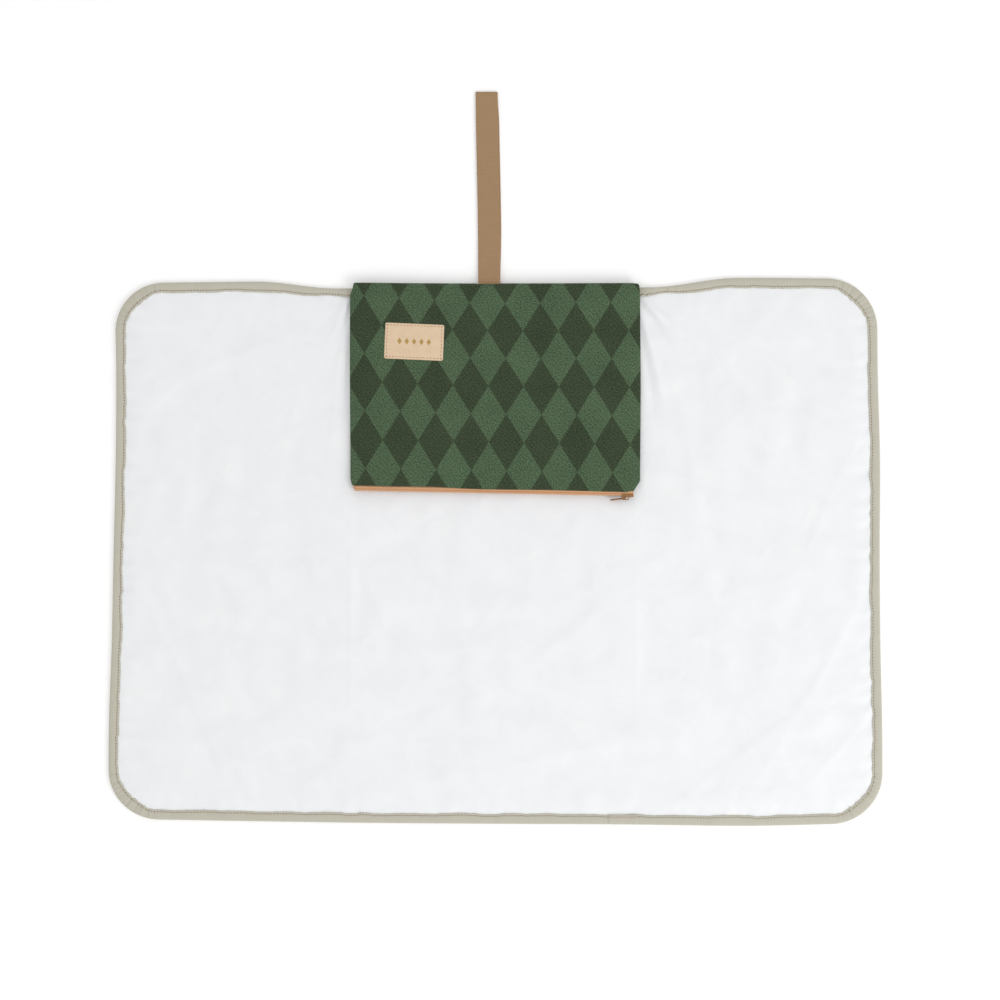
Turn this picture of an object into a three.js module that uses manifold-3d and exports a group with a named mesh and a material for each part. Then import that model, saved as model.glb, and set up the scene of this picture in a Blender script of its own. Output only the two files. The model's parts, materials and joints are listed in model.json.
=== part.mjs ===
// Travel changing pad, laid open: a bound, padded mat with two folding wings, a flat zipped pouch sewn
// to its rear edge, and a webbing loop strap behind it. Millimetres, +Z up, +Y towards the strap.
// The origin is the centre of the mat's underside.
import * as THREE from 'three';
import { mergeVertices } from 'three/addons/utils/BufferGeometryUtils.js';
import Module from 'manifold-3d';

const wasm = await Module();
wasm.setup();

// ---- Driving dimensions -----------------------------------------------------------------------------

const GAP = 0.3; // clearance between pieces that lie against each other

const MAT_LENGTH = 680; // X
const MAT_DEPTH = 480; // Y
const MAT_CORNER = 42; // outer corner radius
const REAR_DIP = 7; // how far the rear edge draws in behind the pouch
const DIP_INNER = 140; // |X| inside which the rear edge is fully drawn in
const DIP_OUTER = 215; // |X| outside which it is straight
const FOLD_X = 128; // |X| of the two fold lines
const SHEET = 0.6; // top sheet, back sheet and binding cloth
const WADDING = 2;
const MAT_HEIGHT = 2 * SHEET + 2 * GAP + WADDING;

const BINDING_WIDTH = 8.7; // each lip of the folded tape
const BINDING_WALL = 0.8;
const OVERLAP_X = [98, 127]; // the tape's overlapped end, on the front edge
const OVERLAP_HEIGHT = 0.4;

const SEAM_STRIP_LENGTH = 244;
const SEAM_STRIP_DEPTH = 13;
const SEAM_STRIP_HEIGHT = 0.6;

const POUCH_WIDTH = 253;
const POUCH_DEPTH = 179.5; // to its mouth, on the centre line
const MOUTH_SLANT = -1.1; // degrees: the mouth is a little lower on the right
const POUCH_CORNER = 5;
const POUCH_X = 0.5; // centre
const POUCH_REAR = 236.3; // Y of its sewn top edge
const POUCH_BOTTOM = MAT_HEIGHT + SEAM_STRIP_HEIGHT + 2 * GAP;
const PANEL = 0.9; // pouch canvas
const LINING = 0.5;
const POCKET = 3.2; // height inside the linings
const POUCH_HALF_HEIGHT = PANEL + GAP + LINING + POCKET / 2;

const LABEL_WIDTH = 52;
const LABEL_DEPTH = 31.5;
const LABEL_HEIGHT = 1;
const LABEL_CORNER = 1.5;
const LABEL_X = -71.2; // from the pouch's centre line
const LABEL_Y = -50.9; // from the pouch's top edge
const LABEL_TURN = THREE.MathUtils.degToRad(-1.7);

const ZIP_HALF_LENGTH = 122;
const TAPE = 0.5;
const TAPE_SEWN = 9; // hidden width, sewn to the panel
const TAPE_SHOWN = 3; // width past the pouch's mouth
const COIL_DEPTH = 1.8; // Y
const COIL_HEIGHT = 1.2; // Z
const COIL_PARTING = 0.7; // from the zip's middle to each coil row
const STOP_LENGTH = 2.2;
const STOP_WALL = 0.5;

const SLIDER_X = 114; // along the zip from its middle, closed
const SLIDER_LENGTH = 8.6;
const SLIDER_HEIGHT = 6.2;
const SLIDER_PLATE = 0.8;
const SLIDER_POST = 0.7;
const BAIL_LENGTH = 5.6;
const BAIL_BAR = 0.8;
const BAIL_OPENING = 1.6;

const PULL_LENGTH = 13.5;
const PULL_HEIGHT = 4.4;
const PULL_PLATE = 0.8;
const PULL_EYE_LENGTH = 4;
const PULL_EYE_HEIGHT = 2;
const PULL_CROSSBAR = 0.7;
const PULL_TURN = THREE.MathUtils.degToRad(8); // its free end hangs a little clear of the chain

const STRAP_WIDTH = 19.3;
const STRAP_X = -6;
const STRAP_NEAR = 238.6; // Y where the free loop starts
const STRAP_FAR = 404.5; // Y of the folded end
const WEBBING = 1;
const STRAP_SLOT = 0.4; // between its two layers
const ANCHOR_DEPTH = 8;

// ---- Materials --------------------------------------------------------------------------------------

const material = (color, roughness, metalness = 0) =>
  new THREE.MeshStandardMaterial({ color, roughness, metalness });

const MATERIALS = {
  topSheet: material('#f1f2f3', 0.5),
  wadding: material('#f4f3ef', 0.95),
  canvas: material('#4c5d46', 0.85),
  binding: material('#c5c1b0', 0.8),
  lining: material('#cfc8b8', 0.8),
  leather: material('#e1c7a8', 0.65),
  zipTape: material('#c79a78', 0.75),
  zipCoil: material('#c98f68', 0.45),
  brass: material('#9a7a54', 0.4, 0.9),
  webbing: material('#a98a6c', 0.85),
};

// ---- Solids -----------------------------------------------------------------------------------------

/** A closed solid for joining and cutting, from a geometry. */
function solid(geometry) {
  const bare = geometry.index ? geometry.toNonIndexed() : geometry.clone();
  bare.deleteAttribute('normal');
  bare.deleteAttribute('uv');
  const merged = mergeVertices(bare, 1e-4);
  const mesh = new wasm.Mesh({
    numProp: 3,
    vertProperties: new Float32Array(merged.attributes.position.array),
    triVerts: new Uint32Array(merged.index.array),
  });
  return new wasm.Manifold(mesh);
}

/** The geometry of a solid, shaded flat. */
function geometryOf(body) {
  const mesh = body.getMesh();
  const geometry = new THREE.BufferGeometry();
  geometry.setAttribute('position', new THREE.BufferAttribute(mesh.vertProperties, 3));
  geometry.setIndex(new THREE.BufferAttribute(mesh.triVerts, 1));
  const flat = geometry.toNonIndexed();
  flat.computeVertexNormals();
  return flat;
}

/** A box between two values on each axis. */
function boxSolid([x0, x1], [y0, y1], [z0, z1]) {
  const geometry = new THREE.BoxGeometry(x1 - x0, y1 - y0, z1 - z0);
  geometry.translate((x0 + x1) / 2, (y0 + y1) / 2, (z0 + z1) / 2);
  return solid(geometry);
}

/** A flat outline in X and Y, raised between two heights. */
function slab(outline, z0, z1) {
  const options = { depth: z1 - z0, bevelEnabled: false, curveSegments: 8 };
  return solid(new THREE.ExtrudeGeometry(outline, options).translate(0, 0, z0));
}

/** A section in Y and Z, run along X. */
function runAlongX(section, x0, x1) {
  const options = { depth: x1 - x0, bevelEnabled: false, curveSegments: 8 };
  const geometry = new THREE.ExtrudeGeometry(section, options);
  const axes = [new THREE.Vector3(0, 1, 0), new THREE.Vector3(0, 0, 1), new THREE.Vector3(1, 0, 0)];
  geometry.applyMatrix4(new THREE.Matrix4().makeBasis(...axes));
  return solid(geometry.translate(x0, 0, 0));
}

/** An outline in X and Z, given depth in Y. */
function plateFacingY(outline, y0, y1) {
  const options = { depth: y1 - y0, bevelEnabled: false, curveSegments: 8 };
  const geometry = new THREE.ExtrudeGeometry(outline, options);
  return solid(geometry.rotateX(Math.PI / 2).translate(0, y1, 0));
}

/** A rectangle with round corners, from its lowest to its highest point. */
function roundedRectangle(x0, y0, x1, y1, radius) {
  const shape = new THREE.Shape();
  shape.moveTo(x0 + radius, y0);
  shape.lineTo(x1 - radius, y0);
  shape.absarc(x1 - radius, y0 + radius, radius, -Math.PI / 2, 0);
  shape.lineTo(x1, y1 - radius);
  shape.absarc(x1 - radius, y1 - radius, radius, 0, Math.PI / 2);
  shape.lineTo(x0 + radius, y1);
  shape.absarc(x0 + radius, y1 - radius, radius, Math.PI / 2, Math.PI);
  shape.lineTo(x0, y0 + radius);
  shape.absarc(x0 + radius, y0 + radius, radius, Math.PI, 1.5 * Math.PI);
  return shape;
}

/** The mesh of a sub-part. */
function part(name, body, finish) {
  const mesh = new THREE.Mesh(geometryOf(body), finish);
  mesh.name = name;
  return mesh;
}

// ---- Mat --------------------------------------------------------------------------------------------

/** The mat's edge, moved in by inset: a round-cornered rectangle whose rear edge dips at the pouch. */
function matOutline(inset) {
  const halfX = MAT_LENGTH / 2 - inset;
  const halfY = MAT_DEPTH / 2 - inset;
  const radius = MAT_CORNER - inset;
  const dipMiddle = (DIP_INNER + DIP_OUTER) / 2;
  const shape = new THREE.Shape();
  shape.moveTo(radius - halfX, -halfY);
  shape.lineTo(halfX - radius, -halfY);
  shape.absarc(halfX - radius, radius - halfY, radius, -Math.PI / 2, 0);
  shape.lineTo(halfX, halfY - radius);
  shape.absarc(halfX - radius, halfY - radius, radius, 0, Math.PI / 2);
  shape.lineTo(DIP_OUTER, halfY);
  shape.bezierCurveTo(dipMiddle, halfY, dipMiddle, halfY - REAR_DIP, DIP_INNER, halfY - REAR_DIP);
  shape.lineTo(-DIP_INNER, halfY - REAR_DIP);
  shape.bezierCurveTo(-dipMiddle, halfY - REAR_DIP, -dipMiddle, halfY, -DIP_OUTER, halfY);
  shape.lineTo(radius - halfX, halfY);
  shape.absarc(radius - halfX, halfY - radius, radius, Math.PI / 2, Math.PI);
  shape.lineTo(-halfX, radius - halfY);
  shape.absarc(radius - halfX, radius - halfY, radius, Math.PI, 1.5 * Math.PI);
  return shape;
}

/** The stretch of X that each column of the mat takes up. */
const COLUMNS = {
  left: [-MAT_LENGTH, -FOLD_X - GAP],
  centre: [-FOLD_X + GAP, FOLD_X - GAP],
  right: [FOLD_X + GAP, MAT_LENGTH],
};

/** What lies in a column of the mat, between two values of Y. */
function cutColumn(body, column, rangeY = [-MAT_DEPTH, MAT_DEPTH]) {
  return body.intersect(boxSolid(COLUMNS[column], rangeY, [-MAT_HEIGHT, 2 * MAT_HEIGHT]));
}

const backSheet = slab(matOutline(BINDING_WIDTH + GAP), 0, SHEET);
const wadding = slab(matOutline(BINDING_WALL + GAP), SHEET + GAP, SHEET + GAP + WADDING);
const topSheet = slab(matOutline(BINDING_WIDTH + GAP), MAT_HEIGHT - SHEET, MAT_HEIGHT);

/** The binding: a tape folded round the edge, with a lip above and a lip below the wadding. */
const binding = slab(matOutline(0), 0, MAT_HEIGHT)
  .subtract(slab(matOutline(BINDING_WIDTH), -1, MAT_HEIGHT + 1))
  .subtract(slab(matOutline(BINDING_WALL), SHEET, MAT_HEIGHT - SHEET));

/** The three layers of one column of the mat. */
function matLayers(column) {
  return [
    part(`mat_back_${column}`, cutColumn(backSheet, column), MATERIALS.canvas),
    part(`mat_wadding_${column}`, cutColumn(wadding, column), MATERIALS.wadding),
    part(`mat_top_${column}`, cutColumn(topSheet, column), MATERIALS.topSheet),
  ];
}

/** The overlapped end of the binding tape, lying on the front edge's upper lip. */
function bindingOverlap() {
  const edge = -MAT_DEPTH / 2;
  const body = boxSolid(OVERLAP_X, [edge, edge + BINDING_WIDTH], [0, OVERLAP_HEIGHT]);
  const mesh = part('binding_overlap', body, MATERIALS.binding);
  mesh.position.z = MAT_HEIGHT + GAP;
  return mesh;
}

function matCentre() {
  const group = new THREE.Group();
  group.add(...matLayers('centre'));
  group.add(part('binding_front', cutColumn(binding, 'centre', [-MAT_DEPTH, 0]), MATERIALS.binding));
  group.add(part('binding_rear', cutColumn(binding, 'centre', [0, MAT_DEPTH]), MATERIALS.binding));
  group.add(bindingOverlap());
  return group;
}

function wing(side) {
  const group = new THREE.Group();
  group.add(...matLayers(side));
  group.add(part(`binding_${side}`, cutColumn(binding, side), MATERIALS.binding));
  return group;
}

// ---- Rear seam: the strip that carries the pouch, and the strap's sewn end ------------------------------

function rearSeam() {
  const group = new THREE.Group();
  group.position.set(0, POUCH_REAR, MAT_HEIGHT + GAP);
  const height = [0, SEAM_STRIP_HEIGHT];
  const anchorX = [STRAP_X - STRAP_WIDTH / 2, STRAP_X + STRAP_WIDTH / 2];
  const notchX = [anchorX[0] - GAP, anchorX[1] + GAP];
  const halfStrip = SEAM_STRIP_LENGTH / 2;
  const strip = boxSolid([-halfStrip, halfStrip], [-SEAM_STRIP_DEPTH, 0], height)
    .subtract(boxSolid(notchX, [-ANCHOR_DEPTH - GAP, 1], [-1, SEAM_STRIP_HEIGHT + 1]));
  group.add(part('pouch_seam_strip', strip, MATERIALS.canvas));
  group.add(part('strap_anchor', boxSolid(anchorX, [-ANCHOR_DEPTH, 0], height), MATERIALS.webbing));
  return group;
}

// ---- Pouch: built from its top edge, at the middle of its height ----------------------------------------

/** The pouch's outline moved in by inset, and carried on past the mouth, where it is cut. */
function pouchOutline(inset) {
  const half = POUCH_WIDTH / 2 - inset;
  return roundedRectangle(-half, -2 * POUCH_DEPTH, half, -inset, POUCH_CORNER - inset);
}

/** The upper half of one layer of the pouch: a shallow tray, open below and at the mouth. */
function halfShell(inset, thickness, mouthInset) {
  const top = POUCH_HALF_HEIGHT - inset;
  const pastMouth = boxSolid([-POUCH_WIDTH, POUCH_WIDTH], [-2 * POUCH_DEPTH, mouthInset], [-1, top + 1])
    .rotate([0, 0, MOUTH_SLANT])
    .translate([0, -POUCH_DEPTH, 0]);
  return slab(pouchOutline(inset), GAP / 2, top)
    .subtract(slab(pouchOutline(inset + thickness), -1, top - thickness))
    .subtract(pastMouth);
}

// ---- Zip: built from the middle of the pouch's mouth ----------------------------------------------------

/** One zip tape: sewn flat under the panel, then sloping down to its coil row. */
function zipTape() {
  const under = POUCH_HALF_HEIGHT - PANEL - GAP;
  const low = COIL_PARTING + COIL_HEIGHT / 2;
  const section = new THREE.Shape();
  section.moveTo(TAPE_SEWN, under);
  section.lineTo(0, under);
  section.lineTo(-TAPE_SHOWN, low + TAPE);
  section.lineTo(-TAPE_SHOWN, low);
  section.lineTo(0, under - TAPE);
  section.lineTo(TAPE_SEWN, under - TAPE);
  section.closePath();
  return runAlongX(section, -ZIP_HALF_LENGTH, ZIP_HALF_LENGTH);
}

const COIL_BACK = -TAPE_SHOWN - GAP; // the coil rows' face towards the pouch
const COIL_FRONT = COIL_BACK - COIL_DEPTH;
const COIL_TOP = COIL_PARTING + COIL_HEIGHT;

/** One row of the zip's coil, as the plain bar that encloses its turns. */
function coilRow() {
  const section = roundedRectangle(COIL_FRONT, COIL_PARTING, COIL_BACK, COIL_TOP, COIL_HEIGHT / 3);
  return runAlongX(section, -ZIP_HALF_LENGTH, ZIP_HALF_LENGTH);
}

/** A metal clip bent round one coil row at the closed end of the zip. */
function topStop() {
  const x0 = ZIP_HALF_LENGTH - STOP_LENGTH;
  const section = new THREE.Shape();
  const inner = { y: COIL_FRONT - GAP, z: COIL_TOP + GAP };
  section.moveTo(inner.y - STOP_WALL, COIL_PARTING);
  section.lineTo(inner.y, COIL_PARTING);
  section.lineTo(inner.y, inner.z);
  section.lineTo(COIL_BACK, inner.z);
  section.lineTo(COIL_BACK, inner.z + STOP_WALL);
  section.lineTo(inner.y - STOP_WALL, inner.z + STOP_WALL);
  section.closePath();
  return runAlongX(section, x0, x0 + STOP_LENGTH);
}

/** The staple over both coil rows at the open end. */
function bottomStop() {
  const x0 = -ZIP_HALF_LENGTH;
  const y1 = COIL_FRONT - GAP;
  return boxSolid([x0, x0 + STOP_LENGTH], [y1 - STOP_WALL, y1], [-COIL_TOP, COIL_TOP]);
}

/** The same solid turned over about the pouch's middle height. */
const turnedOver = (body) => body.mirror([0, 0, 1]);

function labelPatch() {
  const halfX = LABEL_WIDTH / 2;
  const halfY = LABEL_DEPTH / 2;
  const outline = roundedRectangle(-halfX, -halfY, halfX, halfY, LABEL_CORNER);
  const mesh = part('label_patch', slab(outline, 0, LABEL_HEIGHT), MATERIALS.leather);
  mesh.position.set(LABEL_X, LABEL_Y, POUCH_HALF_HEIGHT + GAP);
  mesh.rotation.z = LABEL_TURN;
  return mesh;
}

const SLIDER_OUTER_FACE = COIL_FRONT - GAP - SLIDER_PLATE;
const PIVOT_Y = SLIDER_OUTER_FACE - BAIL_OPENING / 2; // the pull's crossbar, inside the bail

/** The slider: an outer and an inner plate joined by a post between the coil rows, and a bail. */
function sliderBody() {
  const halfX = SLIDER_LENGTH / 2;
  const halfZ = SLIDER_HEIGHT / 2;
  const outline = new THREE.Shape();
  outline.moveTo(-halfX, -halfZ * 0.7);
  outline.quadraticCurveTo(-halfX * 0.3, -halfZ, halfX, -halfZ);
  outline.lineTo(halfX, halfZ);
  outline.quadraticCurveTo(-halfX * 0.3, halfZ, -halfX, halfZ * 0.7);
  outline.closePath();
  const outer = plateFacingY(outline, SLIDER_OUTER_FACE, SLIDER_OUTER_FACE + SLIDER_PLATE);
  const innerFace = COIL_BACK + GAP;
  const innerHalfZ = COIL_PARTING + COIL_HEIGHT / 2 - GAP;
  const inner = boxSolid([-halfX, halfX], [innerFace, innerFace + SLIDER_PLATE], [-innerHalfZ, innerHalfZ]);
  const postHalfZ = SLIDER_POST / 2;
  const post = boxSolid([0, halfX - 1], [SLIDER_OUTER_FACE, innerFace + 0.1], [-postHalfZ, postHalfZ]);
  const lipZ = COIL_TOP + GAP;
  const lip = boxSolid([-halfX + 1, halfX], [SLIDER_OUTER_FACE, COIL_BACK], [lipZ, lipZ + SLIDER_PLATE]);
  const bailY = SLIDER_OUTER_FACE - BAIL_OPENING - BAIL_BAR;
  const bailHalfX = BAIL_LENGTH / 2;
  const bailY1 = SLIDER_OUTER_FACE + 0.1;
  const bail = boxSolid([-bailHalfX, bailHalfX], [bailY, bailY1], [-BAIL_BAR / 2, BAIL_BAR / 2]);
  const opening = boxSolid(
    [-bailHalfX + BAIL_BAR, bailHalfX - BAIL_BAR],
    [bailY + BAIL_BAR, SLIDER_OUTER_FACE],
    [-1, 1],
  );
  return outer.add(inner).add(post).add(lip).add(turnedOver(lip)).add(bail.subtract(opening));
}

/** The pull tab: a plate with an eye, whose end bar lies inside the bail. Built from that bar. */
function pullTab() {
  const halfZ = PULL_HEIGHT / 2;
  const barHalf = PULL_CROSSBAR / 2;
  const outline = roundedRectangle(-PULL_LENGTH, -halfZ, barHalf, halfZ, barHalf);
  const eyeZ = [-PULL_EYE_HEIGHT / 2, PULL_EYE_HEIGHT / 2];
  const eye = boxSolid([-barHalf - PULL_EYE_LENGTH, -barHalf], [-1, 1], eyeZ);
  return plateFacingY(outline, -PULL_PLATE / 2, PULL_PLATE / 2).subtract(eye);
}

function zipSlider() {
  const group = new THREE.Group();
  group.position.x = SLIDER_X;
  group.add(part('zip_slider', sliderBody(), MATERIALS.brass));
  const pull = part('zip_pull', pullTab(), MATERIALS.brass);
  pull.position.y = PIVOT_Y;
  pull.rotation.z = PULL_TURN;
  group.add(pull);
  return group;
}

/** Adds a front piece and the same piece turned over as the back one. */
function addPair(group, frontName, backName, body, finish) {
  group.add(part(frontName, body, finish));
  group.add(part(backName, turnedOver(body), finish));
}

function zip() {
  const group = new THREE.Group();
  group.position.y = -POUCH_DEPTH;
  group.rotation.z = THREE.MathUtils.degToRad(MOUTH_SLANT);
  addPair(group, 'zip_tape_front', 'zip_tape_back', zipTape(), MATERIALS.zipTape);
  addPair(group, 'zip_coil_front', 'zip_coil_back', coilRow(), MATERIALS.zipCoil);
  addPair(group, 'zip_top_stop_front', 'zip_top_stop_back', topStop(), MATERIALS.brass);
  group.add(part('zip_bottom_stop', bottomStop(), MATERIALS.brass));
  group.add(zipSlider());
  return group;
}

function pouch() {
  const group = new THREE.Group();
  group.position.set(POUCH_X, POUCH_REAR, POUCH_BOTTOM + POUCH_HALF_HEIGHT);
  const lining = halfShell(PANEL + GAP, LINING, TAPE_SEWN + GAP);
  addPair(group, 'pouch_front', 'pouch_back', halfShell(0, PANEL, 0), MATERIALS.canvas);
  addPair(group, 'pouch_front_lining', 'pouch_back_lining', lining, MATERIALS.lining);
  group.add(labelPatch());
  group.add(zip());
  return group;
}

// ---- Strap ------------------------------------------------------------------------------------------

/** The free part of the strap: webbing folded double, seen from the side as a long hairpin. */
function strapLoop() {
  const height = 2 * WEBBING + STRAP_SLOT;
  const length = STRAP_FAR - STRAP_NEAR;
  const bend = height / 2;
  const slotBend = STRAP_SLOT / 2;
  const section = new THREE.Shape();
  section.moveTo(0, 0);
  section.lineTo(length - bend, 0);
  section.absarc(length - bend, bend, bend, -Math.PI / 2, Math.PI / 2);
  section.lineTo(0, height);
  section.lineTo(0, height - WEBBING);
  section.lineTo(length - bend, height - WEBBING);
  section.absarc(length - bend, bend, slotBend, Math.PI / 2, -Math.PI / 2, true);
  section.lineTo(0, WEBBING);
  section.closePath();
  const mesh = part('strap_loop', runAlongX(section, -STRAP_WIDTH / 2, STRAP_WIDTH / 2), MATERIALS.webbing);
  mesh.position.set(STRAP_X, STRAP_NEAR, 0);
  return mesh;
}

// ---- Assembly ---------------------------------------------------------------------------------------

const changingPad = new THREE.Group();
changingPad.add(matCentre(), wing('left'), wing('right'), rearSeam(), pouch(), strapLoop());

export default changingPad;
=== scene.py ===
"""A travel changing pad laid open: bound padded mat, zipped pouch, label and webbing strap.

Every size is in millimetres until a mesh is made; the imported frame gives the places.
"""

import json
import logging
import math
from dataclasses import dataclass, field
from enum import Enum
from typing import Callable, Iterable, Sequence

import bpy
import numpy as np
from mathutils import Matrix, Vector


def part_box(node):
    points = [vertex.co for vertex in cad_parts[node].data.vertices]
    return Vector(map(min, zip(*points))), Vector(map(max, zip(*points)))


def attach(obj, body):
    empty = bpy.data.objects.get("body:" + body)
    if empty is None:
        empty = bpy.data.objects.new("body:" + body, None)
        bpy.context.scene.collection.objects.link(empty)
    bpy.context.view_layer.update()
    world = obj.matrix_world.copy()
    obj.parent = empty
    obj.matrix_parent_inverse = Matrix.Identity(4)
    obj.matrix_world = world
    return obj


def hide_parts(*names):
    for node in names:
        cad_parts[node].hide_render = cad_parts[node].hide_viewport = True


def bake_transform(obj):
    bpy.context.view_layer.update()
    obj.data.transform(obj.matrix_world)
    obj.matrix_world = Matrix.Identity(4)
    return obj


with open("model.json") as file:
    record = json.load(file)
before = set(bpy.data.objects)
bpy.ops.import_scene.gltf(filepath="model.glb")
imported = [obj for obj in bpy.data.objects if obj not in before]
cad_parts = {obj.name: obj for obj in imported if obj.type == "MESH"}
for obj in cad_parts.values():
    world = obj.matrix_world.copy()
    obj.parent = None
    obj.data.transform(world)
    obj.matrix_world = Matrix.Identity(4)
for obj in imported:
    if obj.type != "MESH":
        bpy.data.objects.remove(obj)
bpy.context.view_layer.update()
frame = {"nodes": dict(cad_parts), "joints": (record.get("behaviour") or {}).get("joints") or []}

LOG = logging.getLogger("changing_pad")
MM = 0.001
Array = np.ndarray
Socket = bpy.types.NodeSocket


class Body(str, Enum):
    """The bodies that pieces ride on."""

    CENTRE = "centre"
    LEFT = "left_wing"
    RIGHT = "right_wing"
    POUCH = "pouch"
    SLIDER = "slider"
    PULL = "pull"
    STRAP = "strap"


# ---- Small tools ------------------------------------------------------------------------------


def linear(colour: str) -> tuple[float, float, float, float]:
    """Turns an sRGB hex colour to linear light.

    Args:
        colour: "#rrggbb".

    Returns:
        Linear red, green and blue, and an alpha of 1.
    """
    channels = [int(colour[i : i + 2], 16) / 255 for i in (1, 3, 5)]
    lit = [c / 12.92 if c <= 0.04045 else ((c + 0.055) / 1.055) ** 2.4 for c in channels]
    return (*lit, 1.0)


def add_node(
    tree: bpy.types.NodeTree,
    kind: str,
    inputs: dict | None = None,
    out: int | str = 0,
    **settings: object,
) -> Socket | None:
    """Adds a node with its settings, and sets or links its inputs.

    Args:
        tree: the node tree.
        kind: the node's type name.
        inputs: socket name or index to a value, or to the output that feeds it.
        out: which of the node's outputs is wanted.
        **settings: the node's own properties.

    Returns:
        That output, or None for a node without outputs.
    """
    made = tree.nodes.new(kind)
    for key, value in settings.items():
        setattr(made, key, value)
    for key, value in (inputs or {}).items():
        if isinstance(value, Socket):
            tree.links.new(value, made.inputs[key])
        else:
            made.inputs[key].default_value = value
    return made.outputs[out] if made.outputs else None


def corners(node: str) -> Array:
    """A CAD node's lowest and highest corners at rest, in millimetres."""
    return np.array([tuple(corner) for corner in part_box(node)]) / MM


def add_object(name: str, data: bpy.types.ID) -> bpy.types.Object:
    """Makes an object that shows a mesh, light or camera, and links it to the scene.

    Args:
        name: the object's name.
        data: what it shows.

    Returns:
        The linked object.
    """
    made = bpy.data.objects.new(name, data)
    bpy.context.scene.collection.objects.link(made)
    return made


def smooth(t: Array | float) -> Array | float:
    """A smooth step from 0 at t = 0 to 1 at t = 1."""
    t = np.clip(t, 0, 1)
    return t * t * (3 - 2 * t)


def through(stations: Sequence[float], t: Array) -> Array:
    """A smooth curve through evenly spaced values.

    Args:
        stations: the values, the first at t = 0 and the last at t = 1.
        t: where to read the curve.

    Returns:
        The curve's value at each t.
    """
    values = np.asarray(stations, float)
    last = len(values) - 1
    place = np.clip(t, 0, 1) * last
    i = np.minimum(place.astype(int), last - 1)
    f = place - i
    a, b = values[np.maximum(i - 1, 0)], values[i]
    c, d = values[i + 1], values[np.minimum(i + 2, last)]
    return b + 0.5 * f * (c - a + f * (2 * a - 5 * b + 4 * c - d + f * (3 * (b - c) + d - a)))


def distances(path: Array) -> Array:
    """How far along a path each of its points lies."""
    return np.r_[0, np.cumsum(np.linalg.norm(np.diff(path, axis=0), axis=1))]


def headings(path: Array) -> Array:
    """The direction of a path, of length 1, at each of its points."""
    along = np.gradient(path, axis=0)
    return along / np.linalg.norm(along, axis=1)[:, None]


def drift(x: Array, y: Array, pitch: float, seed: int, waves: int = 9) -> Array:
    """Smooth irregular relief, about -1.5 to 1.5, from waves in seeded directions.

    Args:
        x, y: where to read it.
        pitch: the usual wavelength.
        seed: the seed of the directions and phases.
        waves: how many waves are summed.

    Returns:
        The relief at each point.
    """
    rng = np.random.default_rng(seed)
    total = np.zeros(np.broadcast(x, y).shape)
    for _ in range(waves):
        angle, phase = rng.uniform(0, 2 * math.pi, 2)
        turns = 2 * math.pi / (pitch * rng.uniform(0.7, 1.5))
        total += np.sin((x * math.cos(angle) + y * math.sin(angle)) * turns + phase)
    return total / math.sqrt(waves / 2)


def stations_between(low: float, high: float, pitch: float, edge: Sequence[float] = ()) -> Array:
    """Even stations with finer ones beside both ends.

    Args:
        low, high: the two ends.
        pitch: the even spacing, at most.
        edge: distances of the finer stations from each end.

    Returns:
        The stations, rising.
    """
    first, last = low + max(edge, default=0), high - max(edge, default=0)
    inner = np.linspace(first, last, max(2, int(round((last - first) / pitch)) + 1))
    ends = [low, high] + [low + e for e in edge] + [high - e for e in edge]
    return np.unique(np.round(np.concatenate([inner, ends]), 5))


def make_mesh(
    name: str,
    points: Array,
    faces: Iterable[Sequence[int]],
    finish: "Finish",
    cloth: Array | None = None,
    sharp: Iterable[tuple[int, int]] = (),
) -> bpy.types.Object:
    """Makes a smooth-shaded mesh object from points in millimetres.

    Args:
        name: the piece's name.
        points: one row of x, y and z for each vertex.
        faces: vertex numbers of each face, anticlockwise from outside.
        finish: its material.
        cloth: each vertex's place on the flat cloth, in millimetres, kept as a UV map in metres.
        sharp: edges where the shading breaks.

    Returns:
        The linked object.
    """
    mesh = bpy.data.meshes.new(name)
    mesh.from_pydata((np.asarray(points, float) * MM).tolist(), [], [list(f) for f in faces])
    mesh.polygons.foreach_set("use_smooth", [True] * len(mesh.polygons))
    if cloth is not None:
        layer = mesh.uv_layers.new(name="cloth")
        corner_vertex = np.empty(len(mesh.loops), int)
        mesh.loops.foreach_get("vertex_index", corner_vertex)
        layer.data.foreach_set("uv", (np.asarray(cloth, float)[corner_vertex] * MM).ravel())
    wanted = {tuple(sorted(pair)) for pair in sharp}
    if wanted:
        flags = [tuple(sorted(e.vertices)) in wanted for e in mesh.edges]
        mesh.attributes.new("sharp_edge", "BOOLEAN", "EDGE").data.foreach_set("value", flags)
    mesh.update()
    mesh.materials.append(finish.material())
    return add_object(name, mesh)


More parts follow.
